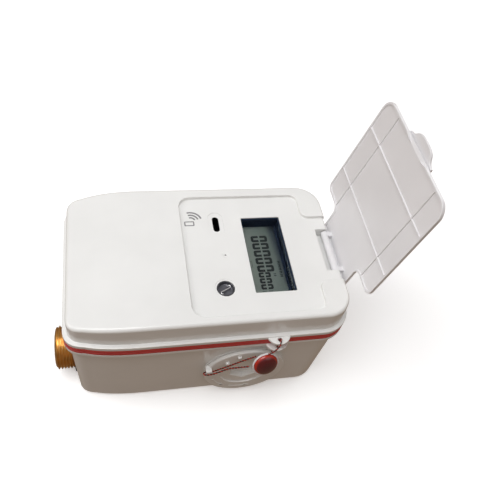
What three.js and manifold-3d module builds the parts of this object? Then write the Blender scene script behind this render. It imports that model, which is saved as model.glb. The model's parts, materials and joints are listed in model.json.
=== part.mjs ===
// A prepaid ultrasonic water meter, in millimetres. +X runs along the pipe towards the lid hinge,
// +Y points to the back, +Z is up, and the origin is the middle of the flat underside.
import * as THREE from "three";
import { mergeVertices } from "three/addons/utils/BufferGeometryUtils.js";
import Module from "manifold-3d";

const wasm = await Module();
wasm.setup();

// ---- Driving dimensions ----
const GAP = 0.3; // running gap between pieces that touch
const CASE = { halfLength: 78, halfWidth: 48.4, height: 85, wall: 2.5, rightRadius: 15, leftRadius: 9 };
// The left end of the case narrows and falls away.
const TAPER = { startX: -38, narrowing: 3.2, drop: 3.5 };
const FLANGE = { outset: 2.4, bottom: 67.4, top: 70.2 };
const RIM = { bottom: 59.6, top: 62.4 };
const BASE = { shrinkX: 0.968, shrinkY: 0.958, edgeRadius: 3, thickness: 3 };
const PLATE_UNDERSIDE = 79.6;
const RECESS = { floor: 82.9, left: -12.7, back: 41.2, front: -43.6, shoulder: 62.6, tongueBack: 22.8,
  tongueFront: -24.6, cornerRadius: 7.5, curve: 5 };
const HINGE = { x: 76.1, z: 79.6, openDegrees: 102.5, barrelRadius: 2.2, pinRadius: 1 };
const NOTCH = { left: 69.5, back: 13.9, front: -16.9, floor: 76.6 };
const LID = { underside: 3.6, thickness: 2.3, tip: 88, shoulder: 14.6, heel: -2.4, back: 40.3, front: -42.7,
  tongueBack: 21.9, tongueFront: -23.7, rimWidth: 1.4, ribDepth: 0.7 };
// The finger tab's reach past the lid's tip, given as (distance from the middle, reach) along one side.
const TAB = { clearance: 1, thickness: 1.7, side: [[14.5, 0], [12.5, 0.3],
  [11, 0.9], [9.8, 2], [8.6, 3.4], [7.2, 4.3],
  [5, 4.9], [2.5, 5.2], [0, 5.3]] };
const SCOOP = { left: -91.4, right: -86, halfLength: 15 };
const WINDOW = { left: 24.3, right: 48.5, front: -29.2, back: 25 };
const USB_SLOT = { x: 8.5, y: 20.9, length: 10.8, width: 3.4 };
const LED = { x: 11, y: -2.1 };
const KEY_WELL = { x: 7.75, y: -25, radius: 5.15 };
const CARD_SPOT = { x: -5, y: 25.8 };
const BOARD = { left: -22, right: 58, front: -33, back: 40, bottom: 70.6, thickness: 1.6 };
const PIPE = { y: -19, z: 18.4, left: -88.7, right: 76.3, threadRadius: 13.22, threadRoot: 12.06,
  pitch: 1.814, threadEnd: -77.6, inletEnd: -67, bodyRadius: 10.5, boreRadius: 7 };
const VALVE = { x: 50, left: 38, right: 60.7, bodyRadius: 14, cavityRadius: 10, ballRadius: 9.5,
  ballBore: 6 };
const POCKET = { left: 63.5, radius: 18, wall: 2.2 };
const CAP = { x: 21.8, z: 29.5, radius: 24.5, openingRadius: 22.1, face: -51.3, seat: -49.2, innerRadius: 15,
  hexRadius: 9.5, hexDepth: 3.2 };
const CELL = { radius: 7.1, length: 50, x: 18.9, z: 38.2, spacing: 15.2, front: -43.5 };
const EAR = { x: 36, y: -48.5, radius: 6.9, holeY: -52.4, holeRadius: 1.1, thickness: 1.8, drop: 0.6 };
const SEAL = { centre: [30.2, -57, 50], facing: [0.09, -0.92, 0.37], radius: 8 };
const SENSORS = [-52, -12];
const GEAR_MODULE = 0.75;
const TEETH = { pinion: 10, idlerLarge: 24, idlerSmall: 10, output: 30 };
const radiusOf = (teeth) => (teeth * GEAR_MODULE) / 2;
const IDLER_Y = PIPE.y + radiusOf(TEETH.output) + radiusOf(TEETH.idlerSmall);
const PINION_Y = IDLER_Y + radiusOf(TEETH.idlerLarge) + radiusOf(TEETH.pinion);
const GEARBOX = { left: VALVE.x - 13.8, right: VALVE.x + 13.8, front: -33, back: PINION_Y + 7,
  floor: 39.2, wall: 1.3, top: 48.5 };
const PILLARS = [[-66, -36], [-66, 36], [66, 36], [53, -40]];
const BOARD_SCREWS = [[-18, -29], [-18, 36], [53.8, -29], [53.8, 36]];

// Each finish is a colour, a roughness and a metalness.
const FINISHES = {
  white: [0xe4e4e1, 0.3, 0], lidWhite: [0xe2e1e2, 0.3, 0], red: [0x8a2626, 0.6, 0],
  brass: [0xc4924a, 0.3, 1], steel: [0xb9bcc0, 0.3, 1], navy: [0x12181f, 0.5, 0],
  glass: [0xf2f6f6, 0.05, 0], lcd: [0x70786c, 0.25, 0], board: [0x1d5a35, 0.6, 0],
  black: [0x1a1a1c, 0.6, 0], rubber: [0x262626, 0.8, 0],
  sealRed: [0x6d1a1e, 0.15, 0], ptfe: [0xf0efe9, 0.4, 0], battery: [0x2f6f4f, 0.5, 0],
  gear: [0xe9e4d2, 0.5, 0], copper: [0xb8693b, 0.35, 1], wire: [0x7c1b1b, 0.5, 0],
};

// ---- Solids and how they combine ----
function solid(geometry) {
  const bare = geometry.clone();
  bare.deleteAttribute("normal");
  bare.deleteAttribute("uv");
  const merged = mergeVertices(bare, 1e-4);
  const corners = merged.index.array;
  const triangles = [];
  for (let i = 0; i < corners.length; i += 3) {
    const [a, b, c] = corners.slice(i, i + 3);
    if (a !== b && b !== c && c !== a) triangles.push(a, b, c);
  }
  return new wasm.Manifold(new wasm.Mesh({
    numProp: 3,
    vertProperties: merged.attributes.position.array,
    triVerts: new Uint32Array(triangles),
  }));
}

function join(...pieces) {
  return pieces.reduce((sum, piece) => sum.add(piece));
}

function cut(body, ...tools) {
  return tools.reduce((rest, tool) => rest.subtract(tool), body);
}

function box(x0, x1, y0, y1, z0, z1) {
  const geometry = new THREE.BoxGeometry(x1 - x0, y1 - y0, z1 - z0);
  geometry.translate((x0 + x1) / 2, (y0 + y1) / 2, (z0 + z1) / 2);
  return solid(geometry);
}

// A round bar along "x", "y" or "z" from one coordinate to another.
function bar(axis, from, to, [a, b], radius, sides = 20) {
  const geometry = new THREE.CylinderGeometry(radius, radius, to - from, sides);
  const middle = (from + to) / 2;
  if (axis === "x") {
    geometry.rotateZ(Math.PI / 2);
    geometry.translate(middle, a, b);
  } else if (axis === "y") {
    geometry.translate(a, middle, b);
  } else {
    geometry.rotateX(Math.PI / 2);
    geometry.translate(a, b, middle);
  }
  return solid(geometry);
}

function ball(x, y, z, radius, sides = 20) {
  const geometry = new THREE.SphereGeometry(radius, sides, sides / 2);
  geometry.translate(x, y, z);
  return solid(geometry);
}

function polygon(points) {
  return new THREE.Shape(points.map(([x, y]) => new THREE.Vector2(x, y)));
}

// A shape in the XY plane, raised from one height to another.
function raise(shape, from, to, curveSegments = 5) {
  const options = { depth: to - from, bevelEnabled: false, curveSegments };
  const geometry = new THREE.ExtrudeGeometry(shape, options);
  geometry.translate(0, 0, from);
  return solid(geometry);
}

// A profile of [radius, height] points turned about a vertical axis.
function turned(points, x, y, sides = 16) {
  const geometry = new THREE.LatheGeometry(points.map(([r, h]) => new THREE.Vector2(r, h)), sides);
  geometry.rotateX(Math.PI / 2);
  geometry.translate(x, y, 0);
  return solid(geometry);
}

// A profile of [radius, x] points turned about the pipe's axis.
function turnedOnPipe(points, sides = 28) {
  const geometry = new THREE.LatheGeometry(points.map(([r, x]) => new THREE.Vector2(r, x)), sides);
  geometry.rotateZ(-Math.PI / 2);
  geometry.translate(0, PIPE.y, PIPE.z);
  return solid(geometry);
}

function ring(axis, from, to, centre, inner, outer, sides = 20) {
  return cut(bar(axis, from, to, centre, outer, sides), bar(axis, from - 1, to + 1, centre, inner, sides));
}

// A round wire along a smooth curve through its points.
function wire(points, radius, steps, sides = 8) {
  const stops = points.map((point) => new THREE.Vector3(...point));
  const path = new THREE.CatmullRomCurve3(stops, false, "centripetal");
  const section = new THREE.Shape();
  for (let i = 0; i < sides; i++) {
    const angle = (i / sides) * 2 * Math.PI;
    const [x, y] = [radius * Math.cos(angle), radius * Math.sin(angle)];
    if (i) section.lineTo(x, y);
    else section.moveTo(x, y);
  }
  section.closePath();
  return solid(new THREE.ExtrudeGeometry(section, { steps, extrudePath: path }));
}

// ---- Outlines in plan ----
// The case: round corners at the hinge end, a slight taper and tighter corners at the pipe end.
function caseOutline(outset) {
  const x = CASE.halfLength + outset;
  const y = CASE.halfWidth + outset;
  const right = CASE.rightRadius + outset;
  const left = CASE.leftRadius + outset;
  const narrow = y - TAPER.narrowing;
  const shape = new THREE.Shape();
  shape.moveTo(x - right, -y);
  shape.absarc(x - right, -y + right, right, -Math.PI / 2, 0);
  shape.absarc(x - right, y - right, right, 0, Math.PI / 2);
  shape.lineTo(TAPER.startX, y);
  shape.quadraticCurveTo((TAPER.startX - x) / 2, y, -x + left, narrow);
  shape.quadraticCurveTo(-x, narrow - 1, -x, narrow - left);
  shape.lineTo(-x, -narrow + left);
  shape.quadraticCurveTo(-x, -narrow + 1, -x + left, -narrow);
  shape.quadraticCurveTo((TAPER.startX - x) / 2, -y, TAPER.startX, -y);
  shape.closePath();
  return shape;
}

// A shelf and a narrower tongue joined by S-curves, for the recess and for the lid that fills it.
function tongueOutline({ far, shoulder, end, back, front, tongueBack, tongueFront, corner, curve }) {
  const shape = new THREE.Shape();
  shape.moveTo(far + corner, front);
  shape.lineTo(shoulder - curve, front);
  shape.absarc(shoulder - curve, front + curve, curve, -Math.PI / 2, 0);
  shape.absarc(shoulder + curve, tongueFront - curve, curve, Math.PI, Math.PI / 2, true);
  shape.lineTo(end, tongueFront);
  shape.lineTo(end, tongueBack);
  shape.absarc(shoulder + curve, tongueBack + curve, curve, -Math.PI / 2, -Math.PI, true);
  shape.absarc(shoulder - curve, back - curve, curve, 0, Math.PI / 2);
  shape.absarc(far + corner, back - corner, corner, Math.PI / 2, Math.PI);
  shape.absarc(far + corner, front + corner, corner, Math.PI, 1.5 * Math.PI);
  return shape;
}

// A slot with round ends, long in Y.
function pill(x, y, length, width) {
  const radius = width / 2;
  const reach = length / 2 - radius;
  const shape = new THREE.Shape();
  shape.absarc(x, y + reach, radius, 0, Math.PI);
  shape.absarc(x, y - reach, radius, Math.PI, 2 * Math.PI);
  shape.closePath();
  return shape;
}

function gearShape(teeth, clearance = 0.12) {
  const pitch = (teeth * GEAR_MODULE) / 2;
  const root = pitch - 1.2 * GEAR_MODULE;
  const tip = pitch + 0.9 * GEAR_MODULE;
  const step = (2 * Math.PI) / teeth;
  const half = step / 4 - clearance / pitch;
  const shape = new THREE.Shape();
  for (let i = 0; i < teeth; i++) {
    const middle = i * step;
    const corners = [[root, -1.5], [tip, -0.45], [tip, 0.45], [root, 1.5]];
    for (const [radius, side] of corners) {
      const angle = middle + side * half;
      const [x, y] = [radius * Math.cos(angle), radius * Math.sin(angle)];
      if (i === 0 && side === -1.5) shape.moveTo(x, y);
      else shape.lineTo(x, y);
    }
  }
  shape.closePath();
  return shape;
}

function gear(teeth, x, y, from, to, turn = 0) {
  const geometry = new THREE.ExtrudeGeometry(gearShape(teeth), { depth: to - from, bevelEnabled: false });
  geometry.rotateZ(turn);
  geometry.translate(x, y, from);
  return solid(geometry);
}

// ---- The model ----
const model = new THREE.Group();
const lidGroup = new THREE.Group();
lidGroup.position.set(HINGE.x, 0, HINGE.z);
lidGroup.rotation.y = THREE.MathUtils.degToRad(HINGE.openDegrees);
model.add(lidGroup);

function add(name, body, finish, group = model) {
  const mesh = body.getMesh();
  const geometry = new THREE.BufferGeometry();
  geometry.setAttribute("position", new THREE.BufferAttribute(new Float32Array(mesh.vertProperties), 3));
  geometry.setIndex(new THREE.BufferAttribute(new Uint32Array(mesh.triVerts), 1));
  geometry.computeVertexNormals();
  const [color, roughness, metalness] = FINISHES[finish];
  const node = new THREE.Mesh(geometry, new THREE.MeshStandardMaterial({ color, roughness, metalness }));
  node.name = name;
  group.add(node);
}

// ---- Case ----
// The drafted walls: full size at the rim, smaller at the base, with a round bottom edge.
function draftedBody(outset, bottom, top) {
  const radius = Math.min(BASE.edgeRadius, BASE.edgeRadius + outset);
  const geometry = new THREE.ExtrudeGeometry(caseOutline(outset), {
    depth: top - bottom, bevelThickness: radius, bevelSize: radius, bevelOffset: -radius, bevelSegments: 3,
    curveSegments: 5,
  });
  geometry.translate(0, 0, bottom + radius);
  const position = geometry.attributes.position;
  for (let i = 0; i < position.count; i++) {
    const share = Math.min(Math.max((RIM.top - position.getZ(i)) / RIM.top, 0), 1);
    position.setX(i, position.getX(i) * (1 - share * (1 - BASE.shrinkX)));
    position.setY(i, position.getY(i) * (1 - share * (1 - BASE.shrinkY)));
  }
  return cut(solid(geometry), box(-100, 100, -70, 70, top, top + 30));
}

function ear(top) {
  const disc = bar("z", top - EAR.thickness, top, [EAR.x, EAR.y], EAR.radius, 32);
  return disc.subtract(box(0, 70, EAR.y, EAR.y + 20, 0, 90));
}

function earHole() {
  return bar("z", 50, 75, [EAR.x, EAR.holeY], EAR.holeRadius, 12);
}

function lowerHousing() {
  const shell = cut(
    draftedBody(0, 0, RIM.top),
    draftedBody(-CASE.wall, BASE.thickness, RIM.top + 2),
  );
  const rim = cut(
    raise(caseOutline(FLANGE.outset), RIM.bottom, RIM.top),
    raise(caseOutline(-CASE.wall), RIM.bottom - 1, RIM.top + 1),
  );
  const inside = draftedBody(-0.5, 0, RIM.top);
  const boss = bar("y", CAP.seat + GAP, -42.5, [CAP.x, CAP.z], CAP.radius, 40);
  const outer = POCKET.radius + POCKET.wall;
  const pocketWall = join(
    bar("x", POCKET.left - POCKET.wall - 0.8, 77, [PIPE.y, PIPE.z], outer, 32),
    box(POCKET.left - POCKET.wall - 0.8, 77, PIPE.y - outer, PIPE.y + outer, 1, PIPE.z),
  ).intersect(inside);
  const pocket = join(
    bar("x", POCKET.left, 90, [PIPE.y, PIPE.z], POCKET.radius, 32),
    box(POCKET.left, 90, PIPE.y - POCKET.radius, PIPE.y + POCKET.radius, -5, PIPE.z),
  );
  const pillars = PILLARS.map((spot) => bar("z", 1, RIM.top, spot, 5, 12).intersect(inside));
  const bores = PILLARS.flatMap((spot) => [
    bar("z", -1, 50, spot, 3.9, 12),
    bar("z", 49, RIM.top + 1, spot, 2.3, 10),
  ]);
  return cut(
    join(shell, rim, boss, pocketWall, ear(RIM.top), ...pillars),
    pocket,
    bar("x", -90, -60, [PIPE.y, PIPE.z], 15.6, 28),
    bar("x", 58, 70, [PIPE.y, PIPE.z], 15.6, 28),
    bar("y", -60, -40, [CAP.x, CAP.z], CAP.openingRadius, 40),
    earHole(),
    ...bores,
  );
}

function gasket() {
  const height = [RIM.top + GAP, FLANGE.bottom - GAP];
  const middle = (height[0] + height[1]) / 2;
  const band = cut(
    raise(caseOutline(FLANGE.outset), ...height),
    raise(caseOutline(-CASE.wall), height[0] - 1, height[1] + 1),
  );
  const groove = cut(
    raise(caseOutline(FLANGE.outset + 2), middle - 0.3, middle + 0.3),
    raise(caseOutline(FLANGE.outset - 0.4), middle - 1, middle + 1),
  );
  return cut(band, groove, bar("z", 60, 70, [EAR.x, EAR.holeY], 2));
}

// The top surface is flat over the display and falls along a long arc towards the left end.
function sideProfile(top) {
  const shape = new THREE.Shape();
  shape.moveTo(-90, 60);
  shape.lineTo(90, 60);
  shape.lineTo(90, top);
  shape.lineTo(TAPER.startX, top);
  shape.quadraticCurveTo((TAPER.startX - 78) / 2, top, -78, top - TAPER.drop);
  shape.lineTo(-90, top - 1.6 * TAPER.drop);
  shape.closePath();
  const geometry = new THREE.ExtrudeGeometry(shape, { depth: 140, bevelEnabled: false, curveSegments: 8 });
  geometry.rotateX(Math.PI / 2);
  geometry.translate(0, 70, 0);
  return solid(geometry);
}

function recessTool() {
  return raise(tongueOutline({
    far: RECESS.left, shoulder: RECESS.shoulder, end: 85, back: RECESS.back, front: RECESS.front,
    tongueBack: RECESS.tongueBack, tongueFront: RECESS.tongueFront, corner: RECESS.cornerRadius,
    curve: RECESS.curve,
  }), RECESS.floor, 90);
}

// Rounds the hinge end's top edge, where the lid's heel swings past.
function hingeEdgeTool() {
  const radius = 2.2;
  const [x, z] = [CASE.halfLength - radius, RECESS.floor - radius];
  const corner = box(x, x + 6, RECESS.tongueFront, RECESS.tongueBack, z, z + 6);
  return corner.subtract(bar("y", -30, 30, [x, z], radius, 32));
}

function topCover() {
  const geometry = new THREE.ExtrudeGeometry(caseOutline(0), {
    depth: 30, bevelThickness: 2.2, bevelSize: 2.2, bevelOffset: -2.2, bevelSegments: 3, curveSegments: 5,
  });
  geometry.translate(0, 0, CASE.height - 30 - 2.2);
  const outside = solid(geometry)
    .intersect(sideProfile(CASE.height))
    .subtract(box(-90, 90, -60, 60, 40, FLANGE.bottom));
  const shell = outside.subtract(raise(caseOutline(-CASE.wall), FLANGE.bottom - 1, PLATE_UNDERSIDE));
  const flange = cut(
    raise(caseOutline(FLANGE.outset), FLANGE.bottom, FLANGE.top),
    raise(caseOutline(-CASE.wall), FLANGE.bottom - 1, FLANGE.top + 1),
  );
  const hingeBlock = box(65, 76.5, -23, 20, 73, 81);
  const bosses = PILLARS.map((spot) => bar("z", FLANGE.bottom, 80, spot, 4.6, 12).intersect(
    raise(caseOutline(-0.5), 60, 81)));
  const boardBosses = BOARD_SCREWS.map((spot) =>
    bar("z", BOARD.bottom + BOARD.thickness + GAP, 80, spot, 3, 10));
  const holes = PILLARS.map((spot) => bar("z", 60, 77, spot, 2.2, 10));
  const boardHoles = BOARD_SCREWS.map((spot) => bar("z", 60, 79, spot, 1.4, 8));
  return cut(
    join(shell, flange, hingeBlock, ear(FLANGE.top - EAR.drop), ...bosses, ...boardBosses),
    recessTool(),
    hingeEdgeTool(),
    box(NOTCH.left, 90, NOTCH.front, NOTCH.back, NOTCH.floor, 90),
    bar("y", -20.4, 18, [HINGE.x, HINGE.z], HINGE.pinRadius + GAP, 16),
    box(WINDOW.left, WINDOW.right, WINDOW.front, WINDOW.back, 70, 90),
    raise(pill(USB_SLOT.x, USB_SLOT.y, USB_SLOT.length, USB_SLOT.width), 70, 90),
    raise(pill(USB_SLOT.x, USB_SLOT.y, 18.4, 9.4), RECESS.floor - 0.25, 90),
    bar("z", 70, 90, [LED.x, LED.y], 0.6, 12),
    bar("z", RECESS.floor - 0.3, 90, [LED.x, LED.y], 2.4, 20),
    bar("z", 70, 90, [KEY_WELL.x, KEY_WELL.y], KEY_WELL.radius, 32),
    bar("z", RECESS.floor - 0.25, 90, [KEY_WELL.x, KEY_WELL.y], 6.4, 32),
    earHole(),
    ...holes,
    ...boardHoles,
  );
}

function caseScrew([x, y]) {
  const points = [[0, 46.2], [3.5, 46.2], [3.5, 49.7], [2, 49.7], [2, 74], [0, 76]];
  const head = turned(points, x, y, 20);
  return head.subtract(box(x - 2.6, x + 2.6, y - 0.5, y + 0.5, 45, 47.6));
}

function boardScrew([x, y]) {
  const points = [[0, 68.4], [2.4, 68.4], [2.4, 70.3], [1.1, 70.3], [1.1, 78], [0, 78.6]];
  return turned(points, x, y, 12);
}

// ---- Lid, modelled shut about its hinge line and swung open by its group ----
function lidOutline(inset) {
  return tongueOutline({
    far: -LID.tip + inset, shoulder: -LID.shoulder - inset, end: -LID.heel - inset,
    back: LID.back - inset, front: LID.front + inset,
    tongueBack: LID.tongueBack - inset, tongueFront: LID.tongueFront + inset,
    corner: 8 - inset / 2, curve: 4.6,
  });
}

// A lens-shaped hollow whose floor slopes from the lid's panel to the underside of the finger tab.
function scoop(middle, panel, end) {
  const { left, right, halfLength } = SCOOP;
  const centre = (left + right) / 2;
  const bulge = (right - left) / 2;
  const lens = Array.from({ length: 48 }, (_, i) => {
    const angle = (i / 48) * 2 * Math.PI;
    const across = Math.sin(angle);
    return [centre + bulge * across * Math.abs(across) ** 0.6, middle - halfLength * Math.cos(angle)];
  });
  const run = right - left;
  const rise = end - panel;
  const length = Math.hypot(run, rise);
  const down = [-rise / length, 0, -run / length];
  return raise(polygon(lens), 0, 9).trimByPlane(down, down[0] * right + down[2] * panel);
}

function lid() {
  const inner = LID.underside;
  const outer = inner + LID.thickness;
  const panel = inner + LID.ribDepth;
  const middle = (LID.back + LID.front) / 2;
  const tabBottom = CASE.height + TAB.clearance - HINGE.z;
  const tabTop = tabBottom + TAB.thickness;
  const tabOutline = polygon([
    [-LID.tip + 5, middle + 14.5],
    ...TAB.side.map(([away, reach]) => [-LID.tip - reach, middle + away]),
    ...TAB.side.slice(0, -1).reverse().map(([away, reach]) => [-LID.tip - reach, middle - away]),
    [-LID.tip + 5, middle - 14.5],
  ]);
  const tab = raise(tabOutline, tabBottom, tabTop);
  const tabRoot = raise(tabOutline, outer - 1, tabTop).intersect(box(-LID.tip + 1.2, -60, -40, 40, 0, 20));
  const ribs = [
    ...[33.2, 66.2].map((u) => box(-u - 0.5, -u + 0.5, -50, 50, 0, 20)),
    ...[24, -29.1].map((y) => box(-90, 0, y - 0.35, y + 0.35, 0, 20)),
  ];
  const pocket = cut(raise(lidOutline(LID.rimWidth), inner - 1, panel), ...ribs);
  const barrel = bar("y", NOTCH.front + 0.4, NOTCH.back - 0.6, [0, 0], HINGE.barrelRadius, 24);
  const arms = [[NOTCH.front + 0.4, NOTCH.front + 3.7], [NOTCH.back - 4, NOTCH.back - 0.6]]
    .map(([y0, y1]) => box(-HINGE.barrelRadius, HINGE.barrelRadius, y0, y1, 0, panel + 0.4));
  return cut(
    join(cut(raise(lidOutline(0), inner, outer), pocket), tab, tabRoot, barrel, ...arms),
    scoop(middle, panel, tabBottom),
    bar("y", -30, 30, [0, 0], HINGE.pinRadius + GAP, 16),
  );
}

function hingePin() {
  return bar("y", -20.1, 17.7, [HINGE.x, HINGE.z], HINGE.pinRadius, 12);
}

// ---- Display and front controls ----
function lcdFrame() {
  const [x0, x1] = [WINDOW.left + GAP, WINDOW.right - GAP];
  const [y0, y1] = [WINDOW.front + GAP, WINDOW.back - GAP];
  const tube = box(x0, x1, y0, y1, 75.4, 82.5);
  const foot = box(x0 - 1.6, x1 + 1.6, y0 - 1.6, y1 + 1.6, 75.4, 76.6);
  return cut(
    join(tube, foot),
    box(x0 + 0.7, x1 - 0.7, y0 + 0.7, y1 - 0.7, 70, 90),
  );
}

function windowLens() {
  const inset = 1.3;
  return box(WINDOW.left + inset, WINDOW.right - inset, WINDOW.front + inset, WINDOW.back - inset, 80.8, 82);
}

function lcdPinRow() {
  const x = WINDOW.right - 1.6;
  const strip = box(x, x + 0.3, WINDOW.front + 1.3, -11, 77, 77.6);
  const teeth = [];
  for (let i = 0; i < 9; i++) {
    const y = WINDOW.front + 1.6 + i * 1.9;
    teeth.push(box(x, x + 0.3, y, y + 0.8, 77.4, 80.4));
  }
  return join(strip, ...teeth);
}

function usbSocket() {
  const { x, y, length, width } = USB_SLOT;
  const shell = cut(
    raise(pill(x, y, length + 1.6, width + 1.6), 72.5, PLATE_UNDERSIDE - GAP),
    raise(pill(x, y, length - 0.8, width - 0.4), 73.6, 90),
  );
  return join(shell, box(x - 0.4, x + 0.4, y - 3.4, y + 3.4, 73, 78.4));
}

function keyContactCup() {
  return cut(
    bar("z", 78.9, RECESS.floor - 0.2, [KEY_WELL.x, KEY_WELL.y], KEY_WELL.radius - GAP, 32),
    bar("z", 80.2, 90, [KEY_WELL.x, KEY_WELL.y], KEY_WELL.radius - GAP - 0.5, 32),
  );
}

// A sprung wire: a straight bar across the cup, with an open curl at each end.
function keyContactSpring() {
  const height = 81.5;
  const curl = (x, y, radius, start, step) => [0, 1, 2, 3, 4, 5].map((i) => {
    const angle = ((start + step * i) * Math.PI) / 180;
    return [KEY_WELL.x + x + radius * Math.cos(angle), KEY_WELL.y + y + radius * Math.sin(angle), height];
  });
  return wire([
    ...curl(-2.1, -2, 0.75, 300, -40),
    [KEY_WELL.x - 0.4, KEY_WELL.y - 0.35, height],
    ...curl(2.2, 1.9, 0.8, -50, 45),
  ], 0.3, 36, 6);
}

function statusLed() {
  const points = [[0, 72.5], [1.9, 72.5], [1.9, 73.6], [1.5, 73.6], [1.5, 77], [1, 78.4], [0, 78.9]];
  return turned(points, LED.x, LED.y, 16);
}

function cardAntenna() {
  const { x, y } = CARD_SPOT;
  return cut(
    box(x - 9.5, x + 9.5, y - 11, y + 11, 78.3, 79.2),
    box(x - 7.5, x + 7.5, y - 9, y + 9, 77, 80),
  );
}

function circuitBoard() {
  const top = BOARD.bottom + BOARD.thickness;
  return cut(
    box(BOARD.left, BOARD.right, BOARD.front, BOARD.back, BOARD.bottom, top),
    ...BOARD_SCREWS.map((spot) => bar("z", 60, 79, spot, 1.5, 8)),
  );
}

// ---- Seal ----
function facing(geometry, centre, direction) {
  const turn = new THREE.Quaternion().setFromUnitVectors(
    new THREE.Vector3(0, 1, 0), new THREE.Vector3(...direction).normalize());
  geometry.applyQuaternion(turn);
  geometry.translate(...centre);
  return solid(geometry);
}

function sealPiece(profile) {
  const points = profile.map(([r, h]) => new THREE.Vector2(r, h));
  return facing(new THREE.LatheGeometry(points, 28), SEAL.centre, SEAL.facing);
}

function sealBase() {
  const r = SEAL.radius;
  return sealPiece([
    [0, -2.6], [r - 2, -2.6], [r - 0.4, -1.6], [r, -0.6], [r, 0.9], [r - 0.9, 0.9], [r - 0.9, 0], [0, 0],
  ]);
}

function sealDome() {
  const r = SEAL.radius - 1.2;
  const points = [[0, 0.3], [r, 0.3], [r, 0.9]];
  for (let i = 1; i <= 6; i++) {
    const angle = (i / 6) * (Math.PI / 2);
    points.push([i === 6 ? 0 : r * Math.cos(angle), 0.9 + 2.6 * Math.sin(angle)]);
  }
  return sealPiece(points);
}

// The wire from the seal through the cap's lug and back.
function sealWireCapLoop() {
  return wire([
    [24, -55, 56.2], [18.1, -54.4, 51.4], [9.9, -53.9, 44.6], [4.5, -53.4, 40.1], [1.8, -53.2, 37.9],
    [-0.8, -53.2, 37.4], [-3.2, -53.2, 37.5], [-4.2, -54.3, 38], [-3, -55.4, 38.6], [0.5, -55.5, 39],
    [4.5, -55, 39.9], [10, -54.9, 43.1], [16.6, -55.7, 45.2], [21, -56.7, 47.6],
  ], 0.5, 36, 6);
}

// The wire from the seal up through both ears, over the upper ear's lip and back down.
function sealWireEarLoop() {
  return wire([
    [32.6, -54, 58.8], [34.8, -52.9, 59.4], [EAR.x, EAR.holeY, 61.2], [EAR.x, EAR.holeY, 65.5],
    [EAR.x, EAR.holeY, 70.2], [EAR.x - 0.1, EAR.holeY - 1.4, 71.7], [EAR.x - 0.8, EAR.holeY - 3.6, 71],
    [EAR.x - 1.8, EAR.holeY - 4.3, 67.5], [32.4, -56.6, 63], [30.4, -55.9, 59.4],
  ], 0.5, 30, 6);
}

// ---- Battery compartment ----
function batteryCap() {
  const centre = [CAP.x, CAP.z];
  const disc = bar("y", CAP.face, CAP.seat, centre, CAP.radius, 40);
  const neck = bar("y", CAP.seat - 0.5, -44.4, centre, CAP.openingRadius - 0.4, 40);
  const hollow = bar("y", CAP.seat + 2.6, -40, centre, 19, 32);
  const groove = ring("y", -47.2, -45.7, centre, CAP.openingRadius - 1.8, CAP.openingRadius + 1, 40);
  const step = bar("y", CAP.face - 1, CAP.face + 0.5, centre, CAP.innerRadius, 32);
  const hex = new THREE.CylinderGeometry(CAP.hexRadius, CAP.hexRadius, 2 * CAP.hexDepth, 6);
  hex.rotateY(Math.PI);
  hex.translate(CAP.x, CAP.face, CAP.z);
  const lug = box(CAP.x - 24.6, CAP.x - 21, CAP.face - 3, CAP.seat - 0.4, 35.4, 45.4);
  const lugHole = bar("x", CAP.x - 30, CAP.x - 15, [CAP.face - 1.9, 37.4], 1.1, 12);
  const bumps = [[9.8, 43], [16.2, 49.4]].map((spot) =>
    bar("y", CAP.face - 1.3, CAP.face + 0.2, spot, 1.3, 12));
  return cut(join(disc, neck, lug, ...bumps), hollow, groove, step, solid(hex), lugHole);
}

function batteryCapORing() {
  return ring("y", -47, -45.9, [CAP.x, CAP.z], CAP.openingRadius - 1.5, CAP.openingRadius - 0.3, 40);
}

function batteryHolder() {
  const [left, right] = [CELL.x - 15.9, CELL.x + 15.9];
  const back = CELL.front + CELL.length;
  return cut(
    box(left, right, CELL.front + 1, back + 2.4, 29.3, 42),
    box(left + 0.9, right - 0.9, CELL.front - 9, back + 1, 30.6, 50),
    box(left - 1, right + 1, -32, -10, 33, 50),
  );
}

function batteryCell(index) {
  const x = CELL.x + (index - 1.5) * CELL.spacing;
  const sign = index === 1 ? 1 : -1;
  const middle = CELL.front + CELL.length / 2;
  const half = CELL.length / 2;
  const can = bar("y", middle - half + (sign < 0 ? 1 : 0), middle + half - (sign > 0 ? 1 : 0),
    [x, CELL.z], CELL.radius, 28);
  const tip = bar("y", middle - (sign < 0 ? half : 0), middle + (sign > 0 ? half : 0),
    [x, CELL.z], 2.6, 16);
  return join(can, tip);
}

// ---- Pipe, sensor and valve ----
// A pipe thread as a row of ridges, from one end of the stretch to the other.
function threadPoints(from, to) {
  const points = [];
  const turns = Math.floor((to - from) / PIPE.pitch);
  const start = from + (to - from - turns * PIPE.pitch) / 2;
  for (let i = 0; i < turns; i++) {
    const x = start + i * PIPE.pitch;
    points.push([PIPE.threadRoot, x], [PIPE.threadRadius, x + PIPE.pitch / 2]);
  }
  points.push([PIPE.threadRoot, start + turns * PIPE.pitch]);
  return points;
}

function inletConnector() {
  const { left, threadEnd, inletEnd, boreRadius, threadRoot, threadRadius, bodyRadius } = PIPE;
  return turnedOnPipe([
    [boreRadius, left], [threadRoot - 0.4, left], ...threadPoints(left + 0.5, threadEnd),
    [threadRadius, threadEnd + 0.4], [threadRadius, inletEnd - 2], [bodyRadius, inletEnd],
    [boreRadius, inletEnd], [boreRadius, left],
  ]);
}

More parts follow.
